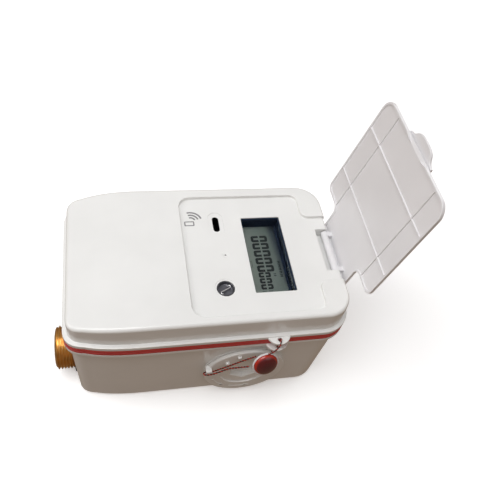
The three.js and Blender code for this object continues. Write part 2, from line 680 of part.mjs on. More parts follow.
function flowTube() {
  const bore = PIPE.boreRadius;
  const start = PIPE.inletEnd + GAP;
  const points = [
    [bore, start], [PIPE.bodyRadius, start], [PIPE.bodyRadius, VALVE.left - 3],
    [VALVE.bodyRadius, VALVE.left], [VALVE.bodyRadius, VALVE.right], [VALVE.cavityRadius, VALVE.right],
    [VALVE.cavityRadius, VALVE.left + 1.2], [bore, VALVE.left + 1.2], [bore, start],
  ];
  const sensorBosses = SENSORS.map((x) => bar("z", PIPE.z + 8.5, 32.4, [x, PIPE.y], 8.4, 28));
  const neck = bar("z", PIPE.z + 12, 38.6, [VALVE.x, PIPE.y], 6, 24);
  return cut(
    join(turnedOnPipe(points), ...sensorBosses, neck),
    ...SENSORS.map((x) => bar("z", PIPE.z, 40, [x, PIPE.y], 6.4, 28)),
    bar("z", PIPE.z, 40, [VALVE.x, PIPE.y], 2.8, 16),
    bar("z", 33.4, 40, [VALVE.x, PIPE.y], 3.6, 16),
  );
}

function outletConnector() {
  const start = VALVE.right + GAP;
  const points = [
    [PIPE.boreRadius, start], [VALVE.bodyRadius, start], [VALVE.bodyRadius, POCKET.left],
    ...threadPoints(POCKET.left + 0.6, PIPE.right - 0.6),
    [PIPE.threadRoot - 0.4, PIPE.right], [PIPE.boreRadius, PIPE.right], [PIPE.boreRadius, start],
  ];
  return turnedOnPipe(points);
}

function valveBall() {
  return cut(
    ball(VALVE.x, PIPE.y, PIPE.z, VALVE.ballRadius),
    bar("x", 30, 70, [PIPE.y, PIPE.z], VALVE.ballBore, 28),
    box(VALVE.x - 3.2, VALVE.x + 3.2, PIPE.y - 1, PIPE.y + 1, 25.4, 35),
  );
}

function valveSeat(from, to) {
  return cut(
    ring("x", from, to, [PIPE.y, PIPE.z], VALVE.ballBore + 0.4, VALVE.cavityRadius - GAP, 24),
    ball(VALVE.x, PIPE.y, PIPE.z, VALVE.ballRadius + GAP, 24),
  );
}

function valveStem() {
  const stem = bar("z", 28.2, 45.6, [VALVE.x, PIPE.y], 2.4, 20);
  const tongue = box(VALVE.x - 2.3, VALVE.x + 2.3, PIPE.y - 0.7, PIPE.y + 0.7, 25.7, 29);
  const flats = [-1, 1].map((side) =>
    box(VALVE.x - 4, VALVE.x + 4, PIPE.y + side * 3.3 - 1.6, PIPE.y + side * 3.3 + 1.6, 40.8, 50));
  return cut(join(stem, tongue.intersect(bar("z", 20, 40, [VALVE.x, PIPE.y], 2.4, 20))), ...flats);
}

function stemORing() {
  return ring("z", 34, 35.4, [VALVE.x, PIPE.y], 2.65, 3.35, 20);
}

function transducer(x) {
  return turned([[0, 26.4], [6.1, 26.4], [6.1, 32.7], [8.2, 32.7], [8.2, 36.4], [4, 37.6], [0, 37.6]],
    x, PIPE.y, 28);
}

// A small mirror at 45 degrees on a foot in the bore, turning the sound beam along the pipe.
function reflector(x, lean) {
  const mirror = new THREE.BoxGeometry(10, 7.4, 1.2);
  mirror.rotateY(lean * (Math.PI / 4));
  mirror.translate(x, PIPE.y, PIPE.z);
  return join(solid(mirror), box(x - 1.5, x + 1.5, PIPE.y - 0.8, PIPE.y + 0.8, PIPE.z - 6.5, PIPE.z));
}

function grommet(from, to) {
  return ring("x", from, to, [PIPE.y, PIPE.z], VALVE.bodyRadius + GAP, 15.3, 28);
}

// ---- Valve drive ----
function gearboxHousing() {
  const { left, right, front, back, floor, wall, top } = GEARBOX;
  return cut(
    join(
      cut(box(left, right, front, back, floor, top),
        box(left + wall, right - wall, front + wall, back - wall, floor + 1.5, top + 5)),
      bar("z", floor + 0.5, top - 0.6, [VALVE.x, IDLER_Y], 1, 12),
    ),
    bar("z", 30, 50, [VALVE.x, PIPE.y], 3.2, 20),
  );
}

function gearboxCover() {
  const { left, right, front, back, top } = GEARBOX;
  return cut(
    box(left, right, front, back, top + GAP, top + 1.8),
    bar("z", 40, 60, [VALVE.x, PINION_Y], 2, 16),
  );
}

function outputGear() {
  const hub = bar("z", 41.2, 45.4, [VALVE.x, PIPE.y], 4.4, 20);
  const slot = bar("z", 40, 50, [VALVE.x, PIPE.y], 2.7, 20)
    .intersect(box(VALVE.x - 5, VALVE.x + 5, PIPE.y - 2, PIPE.y + 2, 30, 60));
  return cut(join(gear(TEETH.output, VALVE.x, PIPE.y, 41.2, 43.8, Math.PI / 2), hub), slot);
}

function idlerGear() {
  const turn = -Math.PI / 2 + Math.PI / TEETH.idlerSmall;
  const small = gear(TEETH.idlerSmall, VALVE.x, IDLER_Y, 41, 44.6, turn);
  const large = gear(TEETH.idlerLarge, VALVE.x, IDLER_Y, 44.4, 46.8, Math.PI / 2);
  return cut(join(small, large), bar("z", 40, 50, [VALVE.x, IDLER_Y], 1 + GAP, 16));
}

function motorPinion() {
  const turn = -Math.PI / 2 + Math.PI / TEETH.pinion;
  return join(
    gear(TEETH.pinion, VALVE.x, PINION_Y, 44.2, 47.2, turn),
    bar("z", 46, 50.3, [VALVE.x, PINION_Y], 1.5, 16),
  );
}

function valveMotor() {
  return turned([[0, 50.7], [6, 50.7], [6, 65.6], [5, 66.2], [1.5, 66.2], [1.5, 67.2], [0, 67.2]],
    VALVE.x, PINION_Y, 28);
}

// ---- Assembly ----
add("top_cover", topCover(), "white");
add("lower_housing", lowerHousing(), "white");
add("sealing_gasket", gasket(), "red");
PILLARS.forEach((spot, i) => add(`case_screw_${i + 1}`, caseScrew(spot), "steel"));

add("lid", lid(), "lidWhite", lidGroup);
add("hinge_pin", hingePin(), "steel");

add("window_lens", windowLens(), "glass");
add("lcd_frame", lcdFrame(), "navy");
add("lcd_glass", box(22.4, 50.2, -31.2, 27, 73, 75.1), "lcd");
add("lcd_pin_row", lcdPinRow(), "steel");
add("usb_socket", usbSocket(), "black");
add("key_contact_cup", keyContactCup(), "black");
add("key_contact_spring", keyContactSpring(), "steel");
add("status_led", statusLed(), "glass");
add("card_antenna", cardAntenna(), "copper");
add("circuit_board", circuitBoard(), "board");
BOARD_SCREWS.forEach((spot, i) => add(`board_screw_${i + 1}`, boardScrew(spot), "steel"));

add("battery_cap", batteryCap(), "white");
add("battery_cap_o_ring", batteryCapORing(), "rubber");
add("battery_holder", batteryHolder(), "black");
[1, 2].forEach((index) => add(`battery_cell_${index}`, batteryCell(index), "battery"));
add("battery_contact_front", box(9.6, 29, -44.7, -44, 34.2, 42), "steel");
add("battery_contact_rear", box(8, 31, 6.8, 7.2, 33, 43), "steel");
add("pulse_capacitor", bar("x", -12, 8, [26, 64.4], 5, 24), "black");

add("inlet_connector", inletConnector(), "brass");
add("flow_tube", flowTube(), "brass");
add("outlet_connector", outletConnector(), "brass");
add("inlet_grommet", grommet(-77.4, -73), "rubber");
add("outlet_grommet", grommet(60.4, 63.2), "rubber");
SENSORS.forEach((x, i) => {
  const side = ["upstream", "downstream"][i];
  add(`transducer_${side}`, transducer(x), "steel");
  add(`reflector_${side}`, reflector(x, i ? 1 : -1), "steel");
});

add("valve_ball", valveBall(), "steel");
add("valve_seat_upstream", valveSeat(VALVE.left + 1.5, 44.4), "ptfe");
add("valve_seat_downstream", valveSeat(55.6, VALVE.right), "ptfe");
add("valve_stem", valveStem(), "steel");
add("stem_o_ring", stemORing(), "rubber");
add("gearbox_housing", gearboxHousing(), "black");
add("gearbox_cover", gearboxCover(), "black");
add("output_gear", outputGear(), "gear");
add("idler_gear", idlerGear(), "gear");
add("motor_pinion", motorPinion(), "gear");
add("valve_motor", valveMotor(), "steel");

add("battery_lead", wire([[20, 9.7, 40], [18, 13, 48], [12, 14, 60], [9, 13, 69.9]], 0.9, 14), "wire");
add("motor_lead",
  wire([[50, PINION_Y + 1, 68.2], [47, 13, 69.2], [44, 17, 69], [42, 19, 69.4]], 0.6, 10), "wire");
add("transducer_lead_upstream",
  wire([[-52, -19, 38], [-50, -18, 48], [-38, -14, 60], [-16, -10, 67], [-10, -8, 69.6]], 0.8, 16), "wire");
add("transducer_lead_downstream",
  wire([[-12, -19, 38], [-12, -18, 50], [-11, -15, 62], [-10, -14, 70]], 0.8, 12), "wire");

add("seal_base", sealBase(), "lidWhite");
add("seal_dome", sealDome(), "sealRed");
add("seal_wire_cap_loop", sealWireCapLoop(), "wire");
add("seal_wire_ear_loop", sealWireEarLoop(), "wire");

export default model;
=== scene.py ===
"""A prepaid ultrasonic water meter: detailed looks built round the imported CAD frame.
Shapes are drawn in millimetres in the CAD's own frame, and scaled to metres as they are linked."""
import json
import math

import bmesh
import bpy
from mathutils import Matrix, Vector


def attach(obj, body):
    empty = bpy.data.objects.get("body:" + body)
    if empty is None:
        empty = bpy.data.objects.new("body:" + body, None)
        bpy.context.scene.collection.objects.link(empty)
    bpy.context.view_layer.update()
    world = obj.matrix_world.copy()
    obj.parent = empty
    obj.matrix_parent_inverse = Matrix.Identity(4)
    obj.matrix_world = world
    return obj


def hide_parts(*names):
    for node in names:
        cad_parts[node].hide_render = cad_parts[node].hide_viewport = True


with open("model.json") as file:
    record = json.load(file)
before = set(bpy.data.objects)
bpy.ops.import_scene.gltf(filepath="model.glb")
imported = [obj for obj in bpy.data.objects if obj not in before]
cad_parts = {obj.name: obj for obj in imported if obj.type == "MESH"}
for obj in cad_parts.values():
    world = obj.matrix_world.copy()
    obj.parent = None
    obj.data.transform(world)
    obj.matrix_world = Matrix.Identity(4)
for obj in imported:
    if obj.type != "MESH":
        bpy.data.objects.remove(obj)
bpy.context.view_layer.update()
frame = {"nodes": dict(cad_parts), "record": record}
nodes = frame["nodes"]
scene = bpy.context.scene

MM = 0.001
GAP = 0.3

# ---- Driving dimensions, in millimetres, as in part.mjs ----
CASE_X, CASE_Y, WALL = 78, 48.4, 2.5
CORNER_RIGHT, CORNER_LEFT = 15, 9
TAPER_X, TAPER_IN, TAPER_DROP = -38, 3.2, 3.5
TOP, PLATE_UNDERSIDE = 85, 79.6
FLANGE_OUT, FLANGE_LOW, FLANGE_HIGH = 2.4, 67.4, 70.2
RIM_LOW, RIM_HIGH = 59.6, 62.4
BASE_X, BASE_Y, BASE_EDGE, FLOOR = 0.968, 0.958, 3, 3
RECESS_FLOOR = 82.9
HINGE_X, HINGE_Z, LID_OPEN = 76.1, 79.6, 102.5
NOTCH = (69.5, 90, -16.9, 13.9, 76.6, 90)
WINDOW = (24.3, 48.5, -29.2, 25)
USB = (8.5, 20.9, 10.8, 3.4)
LED = (11, -2.1)
KEY_WELL, KEY_RADIUS = (7.75, -25), 5.15
CARD_SPOT = (-5, 25.8)
PIPE_Y, PIPE_Z, PIPE_LEFT, PIPE_RIGHT = -19, 18.4, -88.7, 76.3
PIPE_SIDES, STEPS_PER_PITCH = 96, 10
THREAD_CREST, THREAD_ROOT, THREAD_PITCH, BORE, INLET_END = 13.22, 12.06, 1.814, 7, -67
CAP_X, CAP_Z, CAP_R, CAP_OPENING, CAP_FACE, CAP_SEAT = 21.8, 29.5, 24.5, 22.1, -51.3, -49.2
EAR_X, EAR_Y, EAR_R, EAR_HOLE_Y, EAR_THICK, EAR_DROP = 36, -48.5, 6.9, -52.4, 1.8, 0.6
PILLARS = [(-66, -36), (-66, 36), (66, 36), (53, -40)]
SEAL_CENTRE, SEAL_FACING, SEAL_R = (30.2, -57, 50), (0.09, -0.92, 0.37), 8
LID_TIP, LID_HEEL, LID_BACK, LID_FRONT, LID_IN, LID_OUT = 88, 2.4, 40.3, -42.7, 3.6, 5.9
LID_SHOULDER, LID_TONGUE_BACK, LID_TONGUE_FRONT, LID_RIM, LID_RIB = -14.6, 21.9, -23.7, 1.4, 0.7
TAB_CLEARANCE, TAB_THICKNESS = 1, 1.7
# One side of the finger tab, as (distance from its middle, reach past the lid's tip).
TAB_SIDE = [(14.5, 0), (12.5, 0.3), (11, 0.9), (9.8, 2), (8.6, 3.4), (7.2, 4.3), (5, 4.9), (2.5, 5.2),
            (0, 5.3)]
SCOOP = (-91.4, -86, 15)
CROSS_RIBS, LONG_RIBS = (33.2, 66.2), (24, -29.1)
LCD_TOP, LENS_SEAT = 75.1, 79.7
DIGIT_FOOT, DIGIT_LOW, DIGIT_HIGH = 30.2, LCD_TOP + 0.02, LCD_TOP + 0.05
SPRING_HEIGHT, CUP_LOW, CUP_FLOOR = 81.5, 78.9, 80.2

# ---- Stage, light and camera settings ----
STAGE_RADIUS = 3000
LIGHTS = [  # name, place, what it faces, size (all in metres), power in watts, colour
    ("key", (-0.35, -0.1, 1.25), (0, 0, 0.05), 0.9, 8.1, (1, 1, 1)),
    ("side", (-1, 0.15, 0.75), (0.09, 0, 0.12), 0.6, 3.5, (1, 1, 1)),
    ("back", (1.1, 0.6, 0.45), (0, 0, 0.08), 0.8, 3, (1, 1, 1)),
    ("fill", (0.6, -0.9, 0.7), (0, 0, 0.05), 0.7, 0.4, (1, 0.9, 0.8)),
]
# The surroundings' colour by height, as (position, colour) stops.
WORLD_STOPS = [(0.6, (0.3, 0.212, 0.147, 1)), (0.85, (0.62, 0.62, 0.63, 1))]
WORLD_STRENGTH = 0.7
CAMERA_PLACE = (-51.1, -193.8, 347.4)
CAMERA_AZIMUTH, CAMERA_ELEVATION, CAMERA_ROLL = 21.3, 51.28, -14.33
CAMERA_LENS, CAMERA_SENSOR, CAMERA_SHIFT = 41.27, 36, (0.0022, -0.0088)


# ---- Materials ----
NOISE_SPAN = (0.35, 0.65)


def srgb(red, green, blue):
    """A colour given as it looks, 0 to 255, as the shader's linear colour."""
    linear = [c / 255 / 12.92 if c <= 10 else ((c / 255 + 0.055) / 1.055) ** 2.4 for c in (red, green, blue)]
    return (*linear, 1)


class Look:
    """A node-built material: a colour that varies with noise, a varied roughness and a fine bump."""

    def __init__(self, name, colour, roughness, **sockets):
        self.material = bpy.data.materials.new(name)
        self.material.use_nodes = True
        self.tree = self.material.node_tree
        self.shader = self.tree.nodes["Principled BSDF"]
        self.shader.inputs["Roughness"].default_value = roughness
        self.shader.inputs["Base Color"].default_value = colour
        for socket, value in sockets.items():
            self.shader.inputs[socket.replace("_", " ")].default_value = value
        self.colour, self.roughness = colour, roughness
        self.place = self.node("TexCoord").outputs["Object"]

    def node(self, kind):
        return self.tree.nodes.new("ShaderNode" + kind)

    def link(self, out, into):
        self.tree.links.new(out, into)

    def noise(self, scale, detail=3.0, stretch=(1, 1, 1)):
        texture = self.node("TexNoise")
        texture.inputs["Scale"].default_value = scale
        texture.inputs["Detail"].default_value = detail
        mapping = self.node("Mapping")
        mapping.inputs["Scale"].default_value = stretch
        self.link(self.place, mapping.inputs["Vector"])
        self.link(mapping.outputs["Vector"], texture.inputs["Vector"])
        return texture.outputs["Fac"]

    def ramp(self, value, low, high):
        ramp = self.node("ValToRGB")
        for element, position, colour in zip(ramp.color_ramp.elements, NOISE_SPAN, (low, high)):
            element.position, element.color = position, colour
        self.link(value, ramp.inputs["Fac"])
        return ramp.outputs["Color"]

    def shade_along(self, direction, start_mm, end_mm, stops):
        """A colour that changes along a direction."""
        along = self.node("VectorMath")
        along.operation = "DOT_PRODUCT"
        self.link(self.place, along.inputs[0])
        along.inputs[1].default_value = direction
        reach = self.node("MapRange")
        reach.inputs["From Min"].default_value = start_mm * MM
        reach.inputs["From Max"].default_value = end_mm * MM
        self.link(along.outputs["Value"], reach.inputs["Value"])
        self.link(self.stops(reach.outputs["Result"], stops), self.shader.inputs["Base Color"])
        return self

    def stops(self, value, stops):
        """A colour looked up from (position, colour) stops."""
        ramp = self.node("ValToRGB")
        elements = ramp.color_ramp.elements
        while len(elements) < len(stops):
            elements.new(0.5)
        for element, (position, colour) in zip(elements, stops):
            element.position, element.color = position, srgb(*colour)
        self.link(value, ramp.inputs["Fac"])
        return ramp.outputs["Color"]

    def shade_by_distance(self, centre_mm, reach_mm, stops):
        """A colour that changes with the distance from a point."""
        length = self.node("VectorMath")
        length.operation = "DISTANCE"
        self.link(self.place, length.inputs[0])
        length.inputs[1].default_value = Vector(centre_mm) * MM
        share = self.node("Math")
        share.operation = "DIVIDE"
        self.link(length.outputs["Value"], share.inputs[0])
        share.inputs[1].default_value = reach_mm * MM
        self.link(self.stops(share.outputs["Value"], stops), self.shader.inputs["Base Color"])
        return self

    def vary_colour(self, scale, darker):
        low = tuple(c * darker for c in self.colour[:3]) + (1,)
        varied = self.ramp(self.noise(scale), low, self.colour)
        self.link(varied, self.shader.inputs["Base Color"])
        return self

    def vary_roughness(self, scale, spread):
        reach = self.node("MapRange")
        reach.inputs["To Min"].default_value = self.roughness - spread
        reach.inputs["To Max"].default_value = self.roughness + spread
        self.link(self.noise(scale), reach.inputs["Value"])
        self.link(reach.outputs["Result"], self.shader.inputs["Roughness"])
        return self

    def bump(self, scale, depth_mm, strength=0.3, stretch=(1, 1, 1)):
        bump = self.node("Bump")
        bump.inputs["Strength"].default_value = strength
        bump.inputs["Distance"].default_value = depth_mm * MM
        self.link(self.noise(scale, 2.0, stretch), bump.inputs["Height"])
        self.link(bump.outputs["Normal"], self.shader.inputs["Normal"])
        return self


def plastic(name, colour, roughness, grain=1400, depth=0.02, **sockets):
    look = Look(name, srgb(*colour), roughness, **sockets)
    return look.vary_colour(35, 0.965).vary_roughness(90, 0.04).bump(grain, depth).material


def metal(name, colour, roughness, stretch=(1, 1, 1), darker=0.8):
    look = Look(name, srgb(*colour), roughness, Metallic=1.0)
    return look.vary_colour(220, darker).vary_roughness(160, 0.07).bump(900, 0.02, 0.35, stretch).material


def clear(name, colour):
    look = Look(name, srgb(*colour), 0.03, Transmission_Weight=1.0, IOR=1.06, Specular_IOR_Level=0.1)
    return look.vary_colour(60, 0.98).bump(300, 0.004, 0.1).material


WHITE = plastic("white_plastic", (236, 236, 234), 0.24, Coat_Weight=0.35, Coat_Roughness=0.12)
LID_WHITE = plastic("lid_plastic", (232, 231, 233), 0.3, Coat_Weight=0.25, Coat_Roughness=0.2)
GASKET_RED = plastic("red_rubber", (202, 60, 56), 0.42, 900, 0.03)
BRASS = metal("brass", (242, 198, 128), 0.3, stretch=(14, 1, 1))
STEEL = metal("steel", (176, 178, 182), 0.3)
BRIGHT_STEEL = metal("bright_steel", (252, 252, 252), 0.3, darker=0.95)
DARK_METAL = metal("dark_metal", (134, 134, 140), 0.34, darker=0.6)
NAVY = plastic("dark_bezel", (34, 44, 62), 0.5, Specular_IOR_Level=0.12)
BLACK = plastic("black_plastic", (26, 26, 28), 0.5)
# Pitch black, darker than the black plastic: painted shade, so the USB slot reads as a deep dark hole.
SLOT_SHADE = plastic("slot_shade_black", (6, 6, 7), 0.7, Specular_IOR_Level=0.1)
BLACK_RUBBER = plastic("black_rubber", (32, 32, 32), 0.72, 700, 0.04)
COPPER = metal("copper", (196, 112, 66), 0.3)
PTFE = plastic("ptfe", (238, 237, 231), 0.45)
NYLON = plastic("nylon", (228, 222, 200), 0.5)
BOARD_GREEN = plastic("circuit_board", (24, 92, 52), 0.45)
BATTERY = plastic("battery_wrap", (44, 110, 84), 0.36)
LEAD = plastic("lead_wire", (142, 32, 30), 0.5)
STRAND_RED = plastic("strand_red", (168, 40, 24), 0.4)
STRAND_DARK = plastic("strand_dark", (40, 22, 22), 0.4)
SEAL_RED = plastic("seal_red", (112, 12, 20), 0.08, 300, 0.01, Coat_Weight=1.0, Coat_Roughness=0.03)
# Painted light: the dome's colour runs from dark maroon at its middle to bright orange-red at its rim,
# standing in for light passing through its edge.
SEAL_DOME_PAINTED_RIM_LIGHT = Look("seal_dome", srgb(196, 34, 14), 0.08, Coat_Weight=1.0, Coat_Roughness=0.03)
SEAL_DOME_PAINTED_RIM_LIGHT = SEAL_DOME_PAINTED_RIM_LIGHT.shade_by_distance(
    SEAL_CENTRE, 7.2, [(0.45, (72, 8, 22)), (0.86, (94, 10, 22)), (1, (196, 44, 20))])
SEAL_DOME_PAINTED_RIM_LIGHT = SEAL_DOME_PAINTED_RIM_LIGHT.vary_roughness(120, 0.02).bump(300, 0.01, 0.1).material
LENS = clear("clear_lens", (244, 248, 248))
INK = plastic("grey_ink", (136, 134, 136), 0.5)
# Painted shadow of the window well's walls: the display's colour darkens towards +X, slanted a little along
# Y.
LCD_PAINTED_SHADOW = Look("lcd", srgb(136, 146, 132), 0.35)
LCD_PAINTED_SHADOW = LCD_PAINTED_SHADOW.shade_along((1, 0.09, 0), 26, 49, [
    (0, (132, 138, 130)), (0.45, (116, 123, 118)), (0.72, (100, 108, 104)), (0.86, (54, 62, 68)),
    (1, (32, 40, 50))])
LCD_PAINTED_SHADOW = LCD_PAINTED_SHADOW.vary_roughness(120, 0.03).bump(1600, 0.004, 0.15).material
SEGMENT = plastic("lcd_segment", (6, 10, 14), 0.4, 2000, 0.004)
FAINT_SEGMENT = plastic("lcd_faint_segment", (24, 30, 34), 0.4, 2000, 0.004)


# ---- Outlines: closed loops of (x, y) points, anticlockwise ----
def line(a, b, count=1):
    return [(a[0] + (b[0] - a[0]) * i / count, a[1] + (b[1] - a[1]) * i / count) for i in range(count)]


def quad(a, c, b, count=10):
    points = []
    for i in range(count):
        t = i / count
        points.append(tuple((1 - t) ** 2 * a[k] + 2 * t * (1 - t) * c[k] + t * t * b[k] for k in (0, 1)))
    return points


def arc(x, y, radius, start, end, count=12):
    angles = [math.radians(start + (end - start) * i / count) for i in range(count + 1)]
    return [(x + radius * math.cos(a), y + radius * math.sin(a)) for a in angles]


def circle(x, y, radius, count=64):
    return arc(x, y, radius, 0, 360, count)[:-1]


def case_outline(outset=0):
    x, y = CASE_X + outset, CASE_Y + outset
    right, left = CORNER_RIGHT + outset, CORNER_LEFT + outset
    narrow = y - TAPER_IN
    bend = (TAPER_X - x) / 2
    return [
        *arc(x - right, -y + right, right, -90, 0)[:-1],
        *line((x, -y + right), (x, y - right), 14),
        *arc(x - right, y - right, right, 0, 90)[:-1],
        *line((x - right, y), (TAPER_X, y), 20),
        *quad((TAPER_X, y), (bend, y), (-x + left, narrow), 14),
        *quad((-x + left, narrow), (-x, narrow - 1), (-x, narrow - left)),
        *line((-x, narrow - left), (-x, -narrow + left), 14),
        *quad((-x, -narrow + left), (-x, -narrow + 1), (-x + left, -narrow)),
        *quad((-x + left, -narrow), (bend, -y), (TAPER_X, -y), 14),
        *line((TAPER_X, -y), (x - right, -y), 20),
    ]


def tongue_outline(far, shoulder, end, back, front, tongue_back, tongue_front, corner, curve):
    """A shelf and a narrower tongue joined by S-curves."""
    return [
        *line((far + corner, front), (shoulder - curve, front), 12),
        *arc(shoulder - curve, front + curve, curve, -90, 0),
        *arc(shoulder + curve, tongue_front - curve, curve, 180, 90),
        *line((shoulder + curve, tongue_front), (end, tongue_front), 3)[1:],
        *line((end, tongue_front), (end, tongue_back), 8),
        *line((end, tongue_back), (shoulder + curve, tongue_back), 3),
        *arc(shoulder + curve, tongue_back + curve, curve, -90, -180),
        *arc(shoulder - curve, back - curve, curve, 0, 90),
        *line((shoulder - curve, back), (far + corner, back), 12)[1:],
        *arc(far + corner, back - corner, corner, 90, 180),
        *arc(far + corner, front + corner, corner, 180, 270)[:-1],
    ]


def round_box(x0, x1, y0, y1, radius):
    corners = [(x1 - radius, y0 + radius, -90), (x1 - radius, y1 - radius, 0),
               (x0 + radius, y1 - radius, 90), (x0 + radius, y0 + radius, 180)]
    return [point for x, y, start in corners for point in arc(x, y, radius, start, start + 90, 5)]


def pill(x, y, length, width):
    radius = width / 2
    reach = length / 2 - radius
    return [*arc(x, y + reach, radius, 0, 180, 16), *arc(x, y - reach, radius, 180, 360, 16)]


def offset(points, distance):
    """The loop moved outwards by a distance, along the mitre at each point."""
    moved = []
    for i, (x, y) in enumerate(points):
        (px, py), (nx, ny) = points[i - 1], points[(i + 1) % len(points)]
        before = Vector((y - py, px - x)).normalized()
        after = Vector((ny - y, x - nx)).normalized()
        mitre = (before + after).normalized()
        reach = distance / max(mitre.dot(after), 0.3)
        moved.append((x + mitre.x * reach, y + mitre.y * reach))
    return moved


def quarter(start_offset, start_z, end_offset, end_z, steps=5, bulge_first=True):
    """A quarter round between two (offset, z) points. With bulge_first it leaves along z, and otherwise
    along the offset."""
    points = []
    for i in range(steps + 1):
        angle = math.pi / 2 * i / steps
        along, across = math.sin(angle), 1 - math.cos(angle)
        if not bulge_first:
            along, across = across, along
        points.append((start_offset + (end_offset - start_offset) * across,
                       start_z + (end_z - start_z) * along))
    return points


# ---- Solids, as meshes in millimetres ----
def mesh_object(name, vertices, faces):
    mesh = bpy.data.meshes.new(name)
    mesh.from_pydata(vertices, [], faces)
    shape = bmesh.new()
    shape.from_mesh(mesh)
    bmesh.ops.remove_doubles(shape, verts=shape.verts, dist=1e-4)
    bmesh.ops.recalc_face_normals(shape, faces=shape.faces)
    shape.to_mesh(mesh)
    shape.free()
    made = bpy.data.objects.new(name, mesh)
    scene.collection.objects.link(made)
    return made


def loft(name, rings, cyclic=False):
    """Rings of equal count joined by quads, closed by a cap at each end or, if cyclic, onto each other."""
    count = len(rings[0])
    vertices = [point for ring in rings for point in ring]
    faces = []
    for r in range(len(rings) - (0 if cyclic else 1)):
        low, high = r * count, (r + 1) % len(rings) * count
        for i in range(count):
            j = (i + 1) % count
            faces.append((low + i, low + j, high + j, high + i))
    if not cyclic:
        faces.append(tuple(reversed(range(count))))
        faces.append(tuple(range((len(rings) - 1) * count, len(rings) * count)))
    return mesh_object(name, vertices, faces)


def prism(name, outline, profile, cyclic=False):
    """An outline stacked through (offset, z) steps."""
    rings = [[(x, y, z) for x, y in offset(outline, out)] for out, z in profile]
    return loft(name, rings, cyclic)


def box(x0, x1, y0, y1, z0, z1, edge=0.0):
    if edge:
        outline = round_box(x0, x1, y0, y1, edge * 1.2)
        profile = quarter(-edge, z0, 0, z0 + edge, 3, False) + quarter(0, z1 - edge, -edge, z1, 3)
        return prism("box", outline, profile)
    corners = [(x0, y0), (x1, y0), (x1, y1), (x0, y1)]
    return loft("box", [[(x, y, z) for x, y in corners] for z in (z0, z1)])


def onto(axis, centre):
    """The transform that takes a shape about the Z axis onto "x", "y" or "z" through a centre."""
    turn = {
        "x": Matrix(((0, 0, 1), (1, 0, 0), (0, 1, 0))),
        "y": Matrix(((1, 0, 0), (0, 0, 1), (0, -1, 0))),
        "z": Matrix.Identity(3),
    }[axis]
    place = {"x": (0, *centre), "y": (centre[0], 0, centre[1]), "z": (*centre, 0)}[axis]
    return Matrix.Translation(Vector(place)) @ turn.to_4x4()


def turned(name, profile, axis, centre, count=64):
    """A profile of (radius, place along the axis) points, turned about an axis. It closes onto the axis."""
    rings = []
    for radius, along in profile:
        radius = max(radius, 1e-3)
        rings.append([(x, y, along) for x, y in circle(0, 0, radius, count)])
    made = loft(name, rings)
    made.data.transform(onto(axis, centre))
    return made


def bar(axis, start, end, centre, radius, count=48, edge=0.0):
    profile = [(radius, start), (radius, end)]
    if edge:
        profile = [(radius + out, along) for out, along in
                   quarter(-edge, start, 0, start + edge, 3, False) + quarter(0, end - edge, -edge, end, 3)]
    return turned("bar", profile, axis, centre, count)


def combine(base, joins=(), cuts=()):
    """Adds and cuts solids by boolean, and deletes the tools."""
    tools = [(tool, "UNION") for tool in joins] + [(tool, "DIFFERENCE") for tool in cuts]
    for tool, operation in tools:
        step = base.modifiers.new("step", "BOOLEAN")
        step.operation, step.object, step.solver = operation, tool, "MANIFOLD"
    result = bpy.data.meshes.new_from_object(base.evaluated_get(bpy.context.evaluated_depsgraph_get()))
    base.modifiers.clear()
    base.data = result
    for tool, _ in tools:
        bpy.data.objects.remove(tool)
    return base


def common(base, tool):
    step = base.modifiers.new("step", "BOOLEAN")
    step.operation, step.object, step.solver = "INTERSECT", tool, "MANIFOLD"
    base.data = bpy.data.meshes.new_from_object(base.evaluated_get(bpy.context.evaluated_depsgraph_get()))
    base.modifiers.clear()
    bpy.data.objects.remove(tool)
    return base


def show(piece, name, material, body="meter", stands_for=(), angle=32, transform=None):
    """Names a finished piece, smooths it, takes it to metres and hangs it on its body."""
    piece.name = piece.data.name = name
    if transform is not None:
        piece.data.transform(transform)
    piece.data.transform(Matrix.Scale(MM, 4))
    piece.data.materials.clear()
    piece.data.materials.append(material)
    piece.data.shade_smooth()
    piece.data.set_sharp_from_angle(angle=math.radians(angle))
    weighted = piece.modifiers.new("weighted", "WEIGHTED_NORMAL")
    weighted.keep_sharp = True
    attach(piece, body)
    if stands_for:
        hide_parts(*stands_for)
    return piece


# ---- Case ----
def fall(x):
    """How far the top has fallen away at x, towards the left end."""
    t = max((TAPER_X - x) / 40, 0)
    return TAPER_DROP * t * t


def ear(top):
    """A half-round tab with soft edges, lying flat against the case."""
    edge, low = 0.5, top - EAR_THICK
    profile = [(0, low)]
    profile += [(EAR_R + out, z) for out, z in quarter(-edge, low, 0, low + edge, 4, False)]
    profile += [(EAR_R + out, z) for out, z in quarter(0, top - edge, -edge, top, 4)] + [(0, top)]
    tab = turned("ear", profile, "z", (EAR_X, EAR_Y), 72)
    tab = combine(tab, cuts=[box(EAR_X - 9, EAR_X + 9, -46.5, -30, top - 5, top + 5)])
    hole = [(1.5, low - 1), (1.5, low), (1.1, low + 0.4), (1.1, top - 0.4), (1.5, top), (1.5, top + 1)]
    return tab, turned("hole", hole, "z", (EAR_X, EAR_HOLE_Y), 32)


def recess_cutter():
    outline = tongue_outline(-12.7, 62.6, 88, 41.2, -43.6, 22.8, -24.6, 7.5, 5)
    profile = quarter(-0.7, RECESS_FLOOR, 0, RECESS_FLOOR + 0.7, 4, False)
    profile += quarter(0, TOP - 0.45, 0.45, TOP, 6)[:-1] + [(0.44, TOP + 5)]
    return prism("recess", outline, profile)


def flared_hole(outline, floor, top, flare):
    """A cutter for a hole whose upper edge is rounded over."""
    profile = [(0, floor), *quarter(0, top - flare, flare, top, 4)[:-1], (flare, top + 4)]
    return prism("hole", outline, profile)


